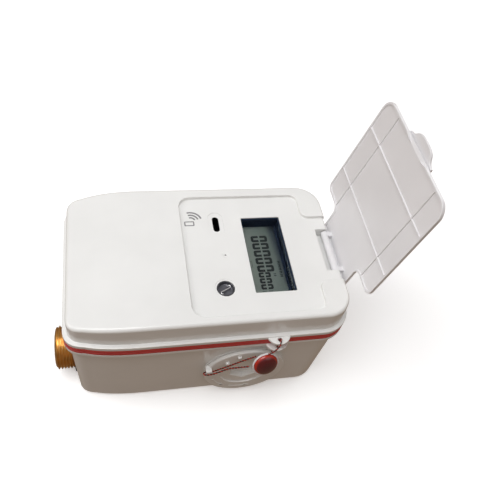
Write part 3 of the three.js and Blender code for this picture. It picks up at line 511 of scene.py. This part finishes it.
def flange_edge(low, high):
    """The rounded edge of a flange, from its lower face to its upper face."""
    out = FLANGE_OUT
    return [(out - 0.5, low), (out - 0.15, low + 0.15), (out, low + 0.5), (out, high - 0.5),
            (out - 0.15, high - 0.15), (out - 0.5, high)]


def make_top_cover():
    edge = 2.2
    profile = flange_edge(FLANGE_LOW, FLANGE_HIGH)
    profile += [(0.55, FLANGE_HIGH), (0.15, FLANGE_HIGH + 0.15), (0, FLANGE_HIGH + 0.55)]
    profile += quarter(0, TOP - edge, -edge, TOP, 7)
    rings = []
    for out, z in profile:
        share = max(z - FLANGE_HIGH - 0.6, 0) / (TOP - FLANGE_HIGH - 0.6)
        rings.append([(x, y, z - fall(x) * share) for x, y in case_outline(out)])
    rim = case_outline(-edge)
    inner_rings = 17
    for i in range(1, inner_rings + 1):
        keep = 1 - i / (inner_rings + 1)
        rings.append([(x * keep, y * keep, TOP - fall(x * keep)) for x, y in rim])
    body = loft("top_cover", rings)
    cavity = prism("cavity", case_outline(-WALL), [(0, FLANGE_LOW - 3), (0, PLATE_UNDERSIDE)])
    body = combine(body, cuts=[cavity])
    tab, hole = ear(FLANGE_HIGH - EAR_DROP)
    pillars = [bar("z", FLANGE_LOW, 80, spot, 4.6, 24) for spot in PILLARS]
    pillar_holes = [bar("z", 60, 77, spot, 2.2, 16) for spot in PILLARS]
    heel_edge = combine(box(CASE_X - edge, CASE_X + 6, -24.6, 22.8, RECESS_FLOOR - edge, RECESS_FLOOR + 6),
                        cuts=[bar("y", -40, 40, (CASE_X - edge, RECESS_FLOOR - edge), edge, 96)])
    x0, x1, y0, y1 = WINDOW
    cuts = [
        recess_cutter(),
        heel_edge,
        box(*NOTCH),
        bar("y", -20.4, 18, (HINGE_X, HINGE_Z), 1.3, 24),
        flared_hole(round_box(x0, x1, y0, y1, 0.5), 70, RECESS_FLOOR, 0.25),
        flared_hole(offset(pill(*USB), 0.25), 70, RECESS_FLOOR, 0.15),
        prism("surround", pill(USB[0], USB[1], 18.4, 9.4), [(-0.2, RECESS_FLOOR - 0.25), (0.15, 85)]),
        bar("z", 70, 90, LED, 0.6, 16),
        turned("dimple", [(0.5, RECESS_FLOOR - 0.35), (1.9, RECESS_FLOOR - 0.25), (2.5, RECESS_FLOOR),
                          (2.6, TOP)], "z", LED, 40),
        flared_hole(circle(*KEY_WELL, KEY_RADIUS), 70, RECESS_FLOOR, 0.2),
        prism("well_ring", circle(*KEY_WELL, 6.4), [(-0.2, RECESS_FLOOR - 0.25), (0.15, 85)]),
        hole,
        *pillar_holes,
    ]
    body = combine(body, [box(65, 76.5, -23, 20, 73, 81), tab, *pillars], cuts)
    show(body, "top_cover_shell", WHITE, stands_for=["top_cover"])


def drafted(points, z):
    share = min(max((RIM_HIGH - z) / RIM_HIGH, 0), 1)
    return [(x * (1 - share * (1 - BASE_X)), y * (1 - share * (1 - BASE_Y)), z) for x, y in points]


def make_lower_housing():
    profile = quarter(-BASE_EDGE, 0, 0, BASE_EDGE, 8, False)
    profile += [(0, RIM_LOW - 0.5), (0.15, RIM_LOW - 0.12), (0.55, RIM_LOW)]
    profile += flange_edge(RIM_LOW, RIM_HIGH) + [(-WALL, RIM_HIGH)]
    inner = BASE_EDGE - WALL
    profile += quarter(-WALL, FLOOR + inner, -WALL - inner, FLOOR, 6)
    body = loft("lower_housing", [drafted(case_outline(out), z) for out, z in profile])
    tab, hole = ear(RIM_HIGH)
    face = CAP_SEAT + GAP
    boss = turned("boss", [(CAP_R - 0.4, face), (CAP_R - 0.1, face + 0.1), (CAP_R, face + 0.4),
                           (CAP_R, -42.5)], "y", (CAP_X, CAP_Z), 128)
    pocket_r, wall = 18, 2.2
    outer = pocket_r + wall
    solid = loft("inside", [drafted(case_outline(out), z)
                            for out, z in [(-2, 0.5), (-0.5, 4), (-0.5, RIM_HIGH - 1)]])
    walls = combine(bar("x", 60.5, 79, (PIPE_Y, PIPE_Z), outer, 72),
                    [box(60.5, 79, PIPE_Y - outer, PIPE_Y + outer, 1, PIPE_Z)])
    walls = common(walls, solid)
    pocket = combine(bar("x", 63.5, 90, (PIPE_Y, PIPE_Z), pocket_r, 96),
                     [box(63.5, 90, PIPE_Y - pocket_r, PIPE_Y + pocket_r, -5, PIPE_Z)])
    pillars = [bar("z", 1, RIM_HIGH, spot, 5, 24) for spot in PILLARS]
    bores = [bar("z", -1, 50, spot, 3.9, 32) for spot in PILLARS]
    bores += [bar("z", 49, 64, spot, 2.3, 20) for spot in PILLARS]
    cuts = [
        pocket,
        bar("x", -90, -60, (PIPE_Y, PIPE_Z), 15.6, 64),
        bar("x", 58, 70, (PIPE_Y, PIPE_Z), 15.6, 64),
        bar("y", -60, -40, (CAP_X, CAP_Z), CAP_OPENING, 96),
        hole,
        *bores,
    ]
    body = combine(body, [boss, walls, tab, *pillars], cuts)
    show(body, "lower_housing_shell", WHITE, stands_for=["lower_housing"])


def make_gasket():
    low, high = RIM_HIGH + GAP, FLANGE_LOW - GAP
    middle = (low + high) / 2
    out, groove = FLANGE_OUT, FLANGE_OUT - 0.35
    profile = [(-WALL, low), (groove, low), (out - 0.1, low + 0.12), (out, low + 0.4), (out, middle - 0.4),
               (out - 0.1, middle - 0.3), (groove, middle - 0.22), (groove, middle + 0.22),
               (out - 0.1, middle + 0.3), (out, middle + 0.4), (out, high - 0.4), (out - 0.1, high - 0.12),
               (groove, high), (-WALL, high)]
    band = loft("gasket", [[(x, y, z) for x, y in case_outline(out)] for out, z in profile], cyclic=True)
    band = combine(band, cuts=[bar("z", 60, 70, (EAR_X, EAR_HOLE_Y), 2, 32)])
    show(band, "sealing_gasket_band", GASKET_RED, stands_for=["sealing_gasket"])


# ---- Lid, drawn shut about the hinge line and then swung open ----
def make_scoop(middle, panel, end):
    """A lens-shaped cutter whose top slopes from the lid's panel to the underside of the finger tab."""
    left, right, half_length = SCOOP
    centre, bulge = (left + right) / 2, (right - left) / 2
    lens = []
    for i in range(96):
        angle = 2 * math.pi * i / 96
        across = math.sin(angle)
        lens.append((centre + bulge * across * abs(across) ** 0.6, middle - half_length * math.cos(angle)))
    slope = (end - panel) / (left - right)
    top = [(x, y, panel + (x - right) * slope) for x, y in lens]
    return loft("scoop", [[(x, y, 0) for x, y in lens], top])


def make_lid():
    outline = tongue_outline(-LID_TIP, LID_SHOULDER, LID_HEEL, LID_BACK, LID_FRONT, LID_TONGUE_BACK,
                             LID_TONGUE_FRONT, 8, 4.6)
    profile = quarter(-0.3, LID_IN, 0, LID_IN + 0.3, 3, False) + quarter(0, LID_OUT - 0.8, -0.8, LID_OUT, 5)
    slab = prism("lid", outline, profile)
    panel = LID_IN + LID_RIB
    pocket = prism("pocket", outline, [(-LID_RIM + 0.12, LID_IN - 1), (-LID_RIM + 0.05, LID_IN),
                                       (-LID_RIM - 0.1, panel - 0.15), (-LID_RIM - 0.3, panel)])
    slab = combine(slab, cuts=[pocket])
    ribs = [prism("rib", round_box(-u - 0.55, -u + 0.55, LID_FRONT + 1, LID_BACK - 1, 0.2),
                  [(0.15, panel + 0.3), (0, panel), (-0.12, LID_IN + 0.12), (-0.25, LID_IN)])
            for u in CROSS_RIBS]
    ribs += [prism("rib", round_box(-LID_TIP + 1, LID_SHOULDER - 1, y - 0.4, y + 0.4, 0.2),
                   [(0.12, panel + 0.3), (0, panel), (-0.1, LID_IN + 0.12), (-0.2, LID_IN)])
             for y in LONG_RIBS]
    middle = (LID_BACK + LID_FRONT) / 2
    tab_low = TOP + TAB_CLEARANCE - HINGE_Z
    tab_high = tab_low + TAB_THICKNESS
    side = [(-LID_TIP - p.y, p.x) for p in smooth_path([(away, reach, 0) for away, reach in TAB_SIDE], 5)]
    root_x, half = -LID_TIP + 5, TAB_SIDE[0][0]
    outline = [(root_x, middle + half)] + [(x, middle + away) for x, away in side]
    outline += [(x, middle - away) for x, away in reversed(side[:-1])] + [(root_x, middle - half)]
    tab_edge = quarter(0, tab_high - 0.7, -0.7, tab_high, 4)
    tab = prism("tab", outline, quarter(-0.3, tab_low, 0, tab_low + 0.3, 3, False) + tab_edge)
    root = common(prism("root", outline, [(0, LID_OUT - 1)] + tab_edge),
                  box(-LID_TIP + 1.2, -60, -40, 40, 0, 20))
    scoop = make_scoop(middle, panel, tab_low)
    barrel = bar("y", NOTCH[2] + 0.4, NOTCH[3] - 0.6, (0, 0), 2.2, 40, edge=0.25)
    arms = [box(-2.2, 2.2, y0, y1, 0, panel + 0.6, 0.3)
            for y0, y1 in [(NOTCH[2] + 0.4, NOTCH[2] + 3.7), (NOTCH[3] - 4, NOTCH[3] - 0.6)]]
    slab = combine(slab, ribs)
    slab = combine(slab, [tab, root, barrel, *arms], [scoop, bar("y", -30, 30, (0, 0), 1.3, 24)])
    swing = Matrix.Translation((HINGE_X, 0, HINGE_Z)) @ Matrix.Rotation(math.radians(LID_OPEN), 4, "Y")
    show(slab, "lid_panel", LID_WHITE, "lid", ["lid"], transform=swing)


# ---- Display and what shows in the recess ----
def joined(name, solids):
    """Several separate solids as one mesh."""
    vertices, faces = [], []
    for solid in solids:
        base = len(vertices)
        vertices += [tuple(v.co) for v in solid.data.vertices]
        faces += [tuple(base + i for i in face.vertices) for face in solid.data.polygons]
        bpy.data.objects.remove(solid)
    mesh = bpy.data.meshes.new(name)
    mesh.from_pydata(vertices, [], faces)
    made = bpy.data.objects.new(name, mesh)
    scene.collection.objects.link(made)
    return made


def segment(a, b, width):
    """A display segment: a thin bar from a to b with pointed ends."""
    start, end = Vector(a), Vector(b)
    along = (end - start).normalized()
    side = Vector((-along.y, along.x)) * width / 2
    nose = along * width / 2
    points = [start, start + nose - side, end - nose - side, end, end - nose + side, start + nose + side]
    return loft("segment", [[(p.x, p.y, z) for p in points] for z in (DIGIT_LOW, DIGIT_HIGH)])


def zero(x, y, height, width, stroke):
    """A seven-segment zero whose foot is at x and whose top points along +X. Its middle bar is unlit."""
    h = stroke / 2
    x0, x1, y0, y1 = x + h, x + height - h, y - width / 2 + h, y + width / 2 - h
    middle, gap = (x0 + x1) / 2, 0.5
    low = middle - gap
    left = [(low, y1 + h), (x0, y1 + h), (x0 - h, y1), (x0 - h, y0), (x0, y0 - h), (low, y0 - h),
            (low, y0 + h), (x0 + h, y0 + h), (x0 + h, y1 - h), (low, y1 - h)]
    right = [(2 * middle - a, b) for a, b in left]
    return [loft("half", [[(a, b, z) for a, b in half] for z in (DIGIT_LOW, DIGIT_HIGH)])
            for half in (left, right)]


def make_bezel():
    """The dark well between the window and the display, thin at its upper edge."""
    x0, x1, y0, y1 = WINDOW[0] + GAP, WINDOW[1] - GAP, WINDOW[2] + GAP, WINDOW[3] - GAP
    outline = round_box(x0, x1, y0, y1, 0.6)
    walls = prism("bezel", outline, [(0.1, 82.6), (0, 82.2), (0, 75.2), (-0.7, 75.2), (-0.7, 81.9),
                                     (-0.5, 82.3)], cyclic=True)
    inside = round_box(x0 + 0.8, x1 - 2.2, y0 + 0.8, y1 - 1, 0.6)
    outside = offset(outline, -0.4)
    ledge = loft("ledge", [[(x, y, z) for x, y in ring] for ring, z in
                           [(outside, 75.25), (outside, 75.6), (inside, 75.6), (inside, 75.25)]], cyclic=True)
    near = [box(x0 - 1, x0 + 0.75, y0 - 1, y1 - 1, LENS_SEAT, 90),
            box(x0 - 1, x1 - 1, y0 - 1, y0 + 0.75, LENS_SEAT, 90)]
    show(combine(walls, [ledge], near), "lcd_bezel", NAVY, stands_for=["lcd_frame"])


def make_pins():
    x, y0 = WINDOW[1] - 1.6, WINDOW[2] + 1.3
    strip_piece = box(x, x + 0.3, y0, -11, 77, 79.2)
    show(strip_piece, "lcd_pin_strip", NAVY, stands_for=["lcd_pin_row"])
    pins = [box(x, x + 0.3, y0 + 0.3 + 1.75 * i, y0 + 0.85 + 1.75 * i, 79.5, 80.4, 0.05) for i in range(10)]
    show(joined("pins", pins), "lcd_pin_tips", STEEL, stands_for=["lcd_pin_row"])


def make_display():
    digits = []
    for i in range(5):
        digits += zero(DIGIT_FOOT, 14.2 - 5.55 * i, 10.2, 4.7, 1.6)
    for i in range(3):
        digits += zero(DIGIT_FOOT, -12.5 - 4.15 * i, 7.3, 3.6, 1.3)
    show(joined("lcd_digits", digits), "lcd_digits", SEGMENT)
    marks = []
    for i in range(5):
        y = -3.4 - 2.4 * i
        marks += [segment((43, y), (45, y), 0.6), segment((43, y - 1.2), (45, y - 1.2), 0.6),
                  segment((44.2, y + 0.1), (44.2, y - 1.4), 0.6)]
    marks += [segment((39.2, -12.2), (41, -12.2), 0.6), segment((39.2, -13.5), (41, -13.5), 0.6)]
    show(joined("lcd_unit_marks", marks), "lcd_unit_marks", FAINT_SEGMENT)
    x0, x1, y0, y1 = 26.3, 27.7, -6.6, -2.2
    outline = [segment((x0, y0), (x1, y0), 0.2), segment((x0, y1), (x1, y1), 0.2),
               segment((x0, y0), (x0, y1), 0.2), segment((x1, y0), (x1, y1), 0.2)]
    show(joined("lcd_battery_mark", outline), "lcd_battery_mark", FAINT_SEGMENT)


def strip(name, points, width, z, thickness=0.03):
    """A flat printed line along a path."""
    ring_low, ring_high = [], []
    for side in (1, -1):
        ordered = points if side == 1 else list(reversed(points))
        for i, (x, y) in enumerate(ordered):
            (px, py), (nx, ny) = ordered[max(i - 1, 0)], ordered[min(i + 1, len(ordered) - 1)]
            normal = Vector((py - ny, nx - px)).normalized() * width / 2
            ring_low.append((x + normal.x, y + normal.y, z))
            ring_high.append((x + normal.x, y + normal.y, z + thickness))
    return loft(name, [ring_low, ring_high])


def make_card_icon():
    """A generic mark for where a card is held: three arcs beside a card's outline."""
    x, y = CARD_SPOT
    z = RECESS_FLOOR + 0.01
    lines = [strip("arc", arc(x - 1.4, y - 1.8, r, 15, 105, 14), 1.05, z) for r in (2.6, 4.6, 6.6)]
    outline = round_box(x - 5.4, x + 0.6, y - 5.6, y - 2, 0.7)
    inner = offset(outline, -0.7)
    card = loft("card", [[(a, b, z) for a, b in outline], [(a, b, z + 0.03) for a, b in outline],
                         [(a, b, z + 0.03) for a, b in inner], [(a, b, z) for a, b in inner]], cyclic=True)
    show(joined("card_mark", [*lines, card]), "card_mark", INK)


# ---- Wires ----
def smooth_path(points, steps=14):
    """Points along a Catmull-Rom curve."""
    middle = [Vector(point) for point in points]
    ends = [2 * middle[0] - middle[1], *middle, 2 * middle[-1] - middle[-2]]
    path = []
    for i in range(1, len(ends) - 2):
        a, b, c, d = ends[i - 1:i + 3]
        for k in range(steps):
            t = k / steps
            path.append(0.5 * (2 * b + (c - a) * t + (2 * a - 5 * b + 4 * c - d) * t * t
                               + (3 * b - a - 3 * c + d) * t ** 3))
    return [*path, ends[-2]]


def tube(name, path, radius, sides=10):
    """A round wire along a path, with a frame carried along so that it doesn't twist."""
    rings = []
    side = (path[1] - path[0]).orthogonal().normalized()
    for i, point in enumerate(path):
        along = (path[min(i + 1, len(path) - 1)] - path[max(i - 1, 0)]).normalized()
        side = (side - along * side.dot(along)).normalized()
        up = along.cross(side)
        rings.append([tuple(point + side * radius * math.cos(a) + up * radius * math.sin(a))
                      for a in (2 * math.pi * k / sides for k in range(sides))])
    return loft(name, rings)


def twisted(path, radius, turn_length, phase):
    """One strand wound about a path."""
    strand = []
    side = (path[1] - path[0]).orthogonal().normalized()
    run = 0
    for i, point in enumerate(path):
        along = (path[min(i + 1, len(path) - 1)] - path[max(i - 1, 0)]).normalized()
        side = (side - along * side.dot(along)).normalized()
        up = along.cross(side)
        run += (point - path[max(i - 1, 0)]).length
        angle = phase + 2 * math.pi * run / turn_length
        strand.append(point + (side * math.cos(angle) + up * math.sin(angle)) * radius)
    return strand


CAP_LOOP = [(24, -55, 56.2), (18.1, -54.4, 51.4), (9.9, -53.9, 44.6), (4.5, -53.4, 40.1), (1.8, -53.2, 37.9),
            (-0.8, -53.2, 37.4), (-3.2, -53.2, 37.5), (-4.2, -54.3, 38), (-3, -55.4, 38.6), (0.5, -55.5, 39),
            (4.5, -55, 39.9), (10, -54.9, 43.1), (16.6, -55.7, 45.2), (21, -56.7, 47.6)]
EAR_LOOP = [(32.6, -54, 58.8), (34.8, -52.9, 59.4), (EAR_X, EAR_HOLE_Y, 61.2), (EAR_X, EAR_HOLE_Y, 65.5),
            (EAR_X, EAR_HOLE_Y, 70.2), (35.9, -53.8, 71.7), (35.2, -56, 71), (34.2, -56.7, 67.5),
            (32.4, -56.6, 63), (30.4, -55.9, 59.4)]


def make_seal_wires():
    for node, points in [("seal_wire_cap_loop", CAP_LOOP), ("seal_wire_ear_loop", EAR_LOOP)]:
        path = smooth_path(points, 22)
        for colour, phase, material in [("red", 0, STRAND_RED), ("dark", math.pi, STRAND_DARK)]:
            strand = tube(node, twisted(path, 0.26, 3.4, phase), 0.25)
            show(strand, f"{node}_{colour}", material, stands_for=[node], angle=80)


def make_seal():
    facing = Vector(SEAL_FACING).normalized()
    turn = Vector((0, 0, 1)).rotation_difference(facing)
    place = Matrix.Translation(SEAL_CENTRE) @ turn.to_matrix().to_4x4()
    r = SEAL_R
    profile = [(0, -2.6), (3.2, -2.6), (3.7, -2.4), (r - 0.6, -0.5), (r - 0.1, -0.2), (r, 0.05), (r, 0.45),
               (r - 0.15, 0.75), (r - 0.4, 0.9), (r - 0.7, 0.8), (r - 0.85, 0.5), (r - 0.9, 0), (0, 0)]
    base = turned("seal_base", profile, "z", (0, 0), 72)
    show(base, "seal_dish", LID_WHITE, stands_for=["seal_base"], transform=place)
    dome, spring, rise, steps = r - 0.95, 0.9, 2.6, 16
    profile = [(0, 0.3), (dome, 0.3), (dome, spring)]
    profile += [(dome * math.cos(a), spring + rise * math.sin(a))
                for a in (math.pi / 2 * i / steps for i in range(1, steps + 1))]
    cap = turned("seal_dome", profile, "z", (0, 0), 72)
    show(cap, "seal_dome_cap", SEAL_DOME_PAINTED_RIM_LIGHT, stands_for=["seal_dome"], transform=place, angle=50)


# ---- Battery cap ----
def make_battery_cap():
    face, seat, r = CAP_FACE, CAP_SEAT, CAP_R
    floor, inside, low = face + 0.9, CAP_OPENING - 0.4, -44.4
    profile = [(0, floor), (14.5, floor), (14.85, face + 0.7), (15, face + 0.4), (15.1, face + 0.06),
               (15.35, face), (23.5, face), (24.05, face + 0.12), (24.4, face + 0.42), (r, face + 0.9),
               (r, seat), (inside, seat), (inside, low), (19, low), (19, seat + 2.6), (0, seat + 2.6)]
    cap = turned("cap", profile, "y", (CAP_X, CAP_Z), 128)
    hexagon = [(9.5 * math.sin(a), 9.5 * math.cos(a)) for a in (math.pi / 3 * i for i in range(6))]
    socket = prism("socket", [(-x, y) for x, y in hexagon],
                   [(-0.25, -3.3), (0, -3), (0, -0.3), (0.3, 0), (0.3, 3)])
    socket.data.transform(Matrix.Translation((CAP_X, floor, CAP_Z)) @ Matrix.Rotation(math.pi / 2, 4, "X"))
    lug = box(CAP_X - 24.6, CAP_X - 21, face - 3, seat - 0.4, 35.4, 39.2, 0.5)
    lug_hole = bar("x", CAP_X - 30, CAP_X - 15, (face - 1.9, 37.4), 1.1, 24)
    bumps = [turned("bump", [(1.3, face + 0.2), (1.3, face - 0.7), (1.15, face - 1.05), (0.8, face - 1.25),
                             (0, face - 1.3)], "y", spot, 32) for spot in [(9.8, 43), (16.2, 49.4)]]
    groove = combine(bar("y", -47.2, -45.7, (CAP_X, CAP_Z), 24, 96),
                     cuts=[bar("y", -48, -45, (CAP_X, CAP_Z), CAP_OPENING - 1.8, 96)])
    cap = combine(cap, [lug, *bumps], [socket, groove, lug_hole])
    show(cap, "battery_cap_disc", WHITE, stands_for=["battery_cap"])
    marks = []
    for start, end in [(200, 232), (248, 280)]:
        points = arc(CAP_X, CAP_Z, 20, start, end, 16)
        marks.append(strip("mark", points, 1, 0, 0.35))
        (x, y), turn = points[-1], math.radians(end + 90)
        head = [(x + 2.2 * math.cos(turn + k), y + 2.2 * math.sin(turn + k)) for k in (0, 2.2, -2.2)]
        marks.append(loft("head", [[(a, b, h) for a, b in head] for h in (0, 0.35)]))
    arrows = joined("cap_arrows", marks)
    upright = Matrix(((1, 0, 0, 0), (0, 0, -1, face + 0.1), (0, 1, 0, 0), (0, 0, 0, 1)))
    show(arrows, "cap_arrows", WHITE, transform=upright)


# ---- Pipe ends with a helical thread ----
def thread_rings(start, end):
    """Rings along X whose radius follows a right-hand thread, running out at both ends."""
    steps = int((end - start) / THREAD_PITCH * STEPS_PER_PITCH)
    rings = []
    for i in range(steps + 1):
        x = start + (end - start) * i / steps
        run_out = min((x - start) / 0.9, (end - x) / 0.9, 1)
        ring = []
        for k in range(PIPE_SIDES):
            angle = 2 * math.pi * k / PIPE_SIDES
            phase = ((x - start) / THREAD_PITCH - k / PIPE_SIDES) % 1
            height = min(max(abs(phase * 2 - 1) * 1.5 - 0.25, 0), 1)
            radius = THREAD_ROOT + (THREAD_CREST - THREAD_ROOT) * height * run_out
            ring.append((x, PIPE_Y + radius * math.cos(angle), PIPE_Z + radius * math.sin(angle)))
        rings.append(ring)
    return rings


def plain_rings(pairs):
    """Rings on the pipe's axis, from (radius, x) pairs."""
    return [[(x, PIPE_Y + radius * math.cos(a), PIPE_Z + radius * math.sin(a))
             for a in (2 * math.pi * k / PIPE_SIDES for k in range(PIPE_SIDES))] for radius, x in pairs]


def make_pipe():
    left, right = PIPE_LEFT, PIPE_RIGHT
    rings = plain_rings([(BORE, left + 0.5), (BORE + 0.15, left + 0.15), (BORE + 0.5, left),
                         (THREAD_ROOT - 1, left), (THREAD_ROOT - 0.5, left + 0.15)])
    rings += thread_rings(left + 0.5, -77.6)
    rings += plain_rings([(THREAD_ROOT, -77.5), (THREAD_CREST, -77.2), (THREAD_CREST, -69), (10.5, INLET_END),
                          (BORE, INLET_END)])
    show(loft("inlet", rings, cyclic=True), "inlet_connector_turned", BRASS,
         stands_for=["inlet_connector"], angle=40)
    rings = plain_rings([(BORE, 61), (14, 61), (14, 63.5), (THREAD_ROOT, 63.5)])
    rings += thread_rings(64.1, right - 0.6)
    rings += plain_rings([(THREAD_ROOT - 0.5, right - 0.15), (THREAD_ROOT - 1, right), (BORE + 0.5, right),
                          (BORE + 0.15, right - 0.15), (BORE, right - 0.5)])
    show(loft("outlet", rings, cyclic=True), "outlet_connector_turned", BRASS,
         stands_for=["outlet_connector"], angle=40)


# ---- Key contact ----
def make_usb_socket():
    x, y, length, width = USB
    shell = prism("usb", pill(x, y, length + 1.6, width + 1.6),
                  [(-0.2, 72.5), (0, 72.7), (0, 79.1), (-0.2, 79.3)])
    opening = prism("opening", pill(x, y, length - 0.2, width - 0.1), [(0, 73.6), (0, 90)])
    tongue = box(x - 0.4, x + 0.4, y - 3.4, y + 3.4, 73, 78.4, 0.1)
    socket = combine(combine(shell, cuts=[opening]), [tongue])
    outline = pill(x, y, length, width)
    # A pitch-black sleeve lines the cover's slot wall: painted shade in the hole.
    low, high = 79.2, RECESS_FLOOR - 0.3
    shade_sleeve = prism("shade_sleeve", outline, [(0.2, low), (0.2, high), (0, high), (0, low)], cyclic=True)
    socket = joined("usb", [socket, shade_sleeve])
    show(socket, "usb_socket_shell", SLOT_SHADE, stands_for=["usb_socket"])


def make_key_contact():
    x, y = KEY_WELL
    outer, low, high = KEY_RADIUS - GAP, CUP_FLOOR, RECESS_FLOOR - 0.2
    inner = outer - 0.5
    cup = turned("cup", [(0, CUP_LOW), (outer, CUP_LOW), (outer, high - 0.2), (outer - 0.1, high),
                         (inner + 0.1, high), (inner, high - 0.2), (inner, low + 0.6),
                         (inner - 0.2, low + 0.15), (inner - 0.6, low), (0, low)], "z", (x, y), 64)
    show(cup, "key_contact_socket", DARK_METAL, stands_for=["key_contact_cup"])

    def curl(dx, dy, radius, start, step):
        """Points round an open loop, from an angle and by a step in degrees."""
        angles = [math.radians(start + step * i) for i in range(6)]
        return [(x + dx + radius * math.cos(a), y + dy + radius * math.sin(a), SPRING_HEIGHT) for a in angles]

    path = smooth_path([*curl(-2.1, -2, 0.75, 300, -40), (x - 0.4, y - 0.35, SPRING_HEIGHT),
                        *curl(2.2, 1.9, 0.8, -50, 45)], 8)
    show(tube("spring", path, 0.33, 12), "key_contact_wire", BRIGHT_STEEL, "key_contact",
         ["key_contact_spring"], angle=80)


make_top_cover()
make_lower_housing()
make_gasket()
make_lid()
make_bezel()
make_display()
make_pins()
make_card_icon()
make_seal_wires()
make_seal()
make_battery_cap()
make_pipe()
make_key_contact()
make_usb_socket()

# ---- Materials of the CAD nodes that stay ----
KEPT = {
    "steel": STEEL, "brass": BRASS, "white_plastic": WHITE, "lid_plastic": LID_WHITE,
    "red_rubber": GASKET_RED, "clear_lens": LENS, "dark_bezel": NAVY, "lcd": LCD_PAINTED_SHADOW, "black_plastic": BLACK,
    "dark_metal": DARK_METAL, "copper": COPPER, "circuit_board": BOARD_GREEN, "black_rubber": BLACK_RUBBER,
    "battery_wrap": BATTERY, "ptfe": PTFE, "nylon": NYLON, "lead_wire": LEAD, "seal_wire": STRAND_RED,
    "seal_red": SEAL_RED,
}
for part in frame["record"]["subparts"]:
    mesh = nodes[part["node"]].data
    mesh.materials.clear()
    mesh.materials.append(KEPT[part["material_slot"]])
    mesh.set_sharp_from_angle(angle=math.radians(30))


# ---- Stage, light and camera ----
def make_stage(name, rings, roughness, glow, grain):
    """A pale surface that the camera sees and that lights nothing."""
    surface = loft(name, rings)
    surface.data.transform(Matrix.Scale(MM, 4))
    look = Look(name, srgb(250, 250, 250), roughness, Emission_Color=(1, 1, 1, 1), Emission_Strength=glow)
    surface.data.materials.append(look.vary_colour(grain, 0.995).material)
    surface.visible_diffuse = False
    surface.visible_glossy = False
    return surface


make_stage("floor", [[(x, y, z) for x, y in circle(0, 0, STAGE_RADIUS)] for z in (-12, -0.05)], 0.7, 0.3, 8)
dome = []
for i in range(12):
    rise = math.pi / 2 * i / 12
    height = STAGE_RADIUS * math.sin(rise) - 20
    dome.append([(x, y, height) for x, y in circle(0, 0, STAGE_RADIUS * math.cos(rise), 48)])
backdrop = make_stage("backdrop", dome, 0.8, 0.75, 3)
backdrop.data.shade_smooth()
backdrop.visible_transmission = False
backdrop.visible_shadow = False

for name, place, target, size, power, colour in LIGHTS:
    data = bpy.data.lights.new(name, "AREA")
    data.shape, data.size, data.energy, data.color = "DISK", size, power, colour
    light = bpy.data.objects.new(name, data)
    light.location = place
    light.rotation_euler = (Vector(target) - Vector(place)).to_track_quat("-Z", "Y").to_euler()
    scene.collection.objects.link(light)

world = bpy.data.worlds.new("studio")
scene.world = world
world.use_nodes = True
tree = world.node_tree
background = tree.nodes["Background"]
background.inputs["Strength"].default_value = WORLD_STRENGTH
coordinates = tree.nodes.new("ShaderNodeTexCoord")
height = tree.nodes.new("ShaderNodeSeparateXYZ")
reach = tree.nodes.new("ShaderNodeMapRange")
reach.inputs["From Min"].default_value = -1
ramp = tree.nodes.new("ShaderNodeValToRGB")
for element, (position, colour) in zip(ramp.color_ramp.elements, WORLD_STOPS):
    element.position, element.color = position, colour
tree.links.new(coordinates.outputs["Generated"], height.inputs["Vector"])
tree.links.new(height.outputs["Z"], reach.inputs["Value"])
tree.links.new(reach.outputs["Result"], ramp.inputs["Fac"])
tree.links.new(ramp.outputs["Color"], background.inputs["Color"])

scene.view_settings.view_transform = "Standard"

azimuth, elevation, roll = map(math.radians, (CAMERA_AZIMUTH, CAMERA_ELEVATION, CAMERA_ROLL))
forward = Vector((math.sin(azimuth) * math.cos(elevation), math.cos(azimuth) * math.cos(elevation),
                  -math.sin(elevation)))
level = Vector((math.cos(azimuth), -math.sin(azimuth), 0))
down = forward.cross(level)
right = level * math.cos(roll) + down * math.sin(roll)
below = down * math.cos(roll) - level * math.sin(roll)
camera_data = bpy.data.cameras.new("camera")
camera = bpy.data.objects.new("camera", camera_data)
camera_data.lens, camera_data.sensor_width = CAMERA_LENS, CAMERA_SENSOR
camera_data.shift_x, camera_data.shift_y = CAMERA_SHIFT
camera_data.clip_start = 0.01
turn = Matrix((right, -below, -forward)).transposed().to_4x4()
camera.matrix_world = Matrix.Translation(Vector(CAMERA_PLACE) * MM) @ turn
scene.collection.objects.link(camera)
scene.camera = camera
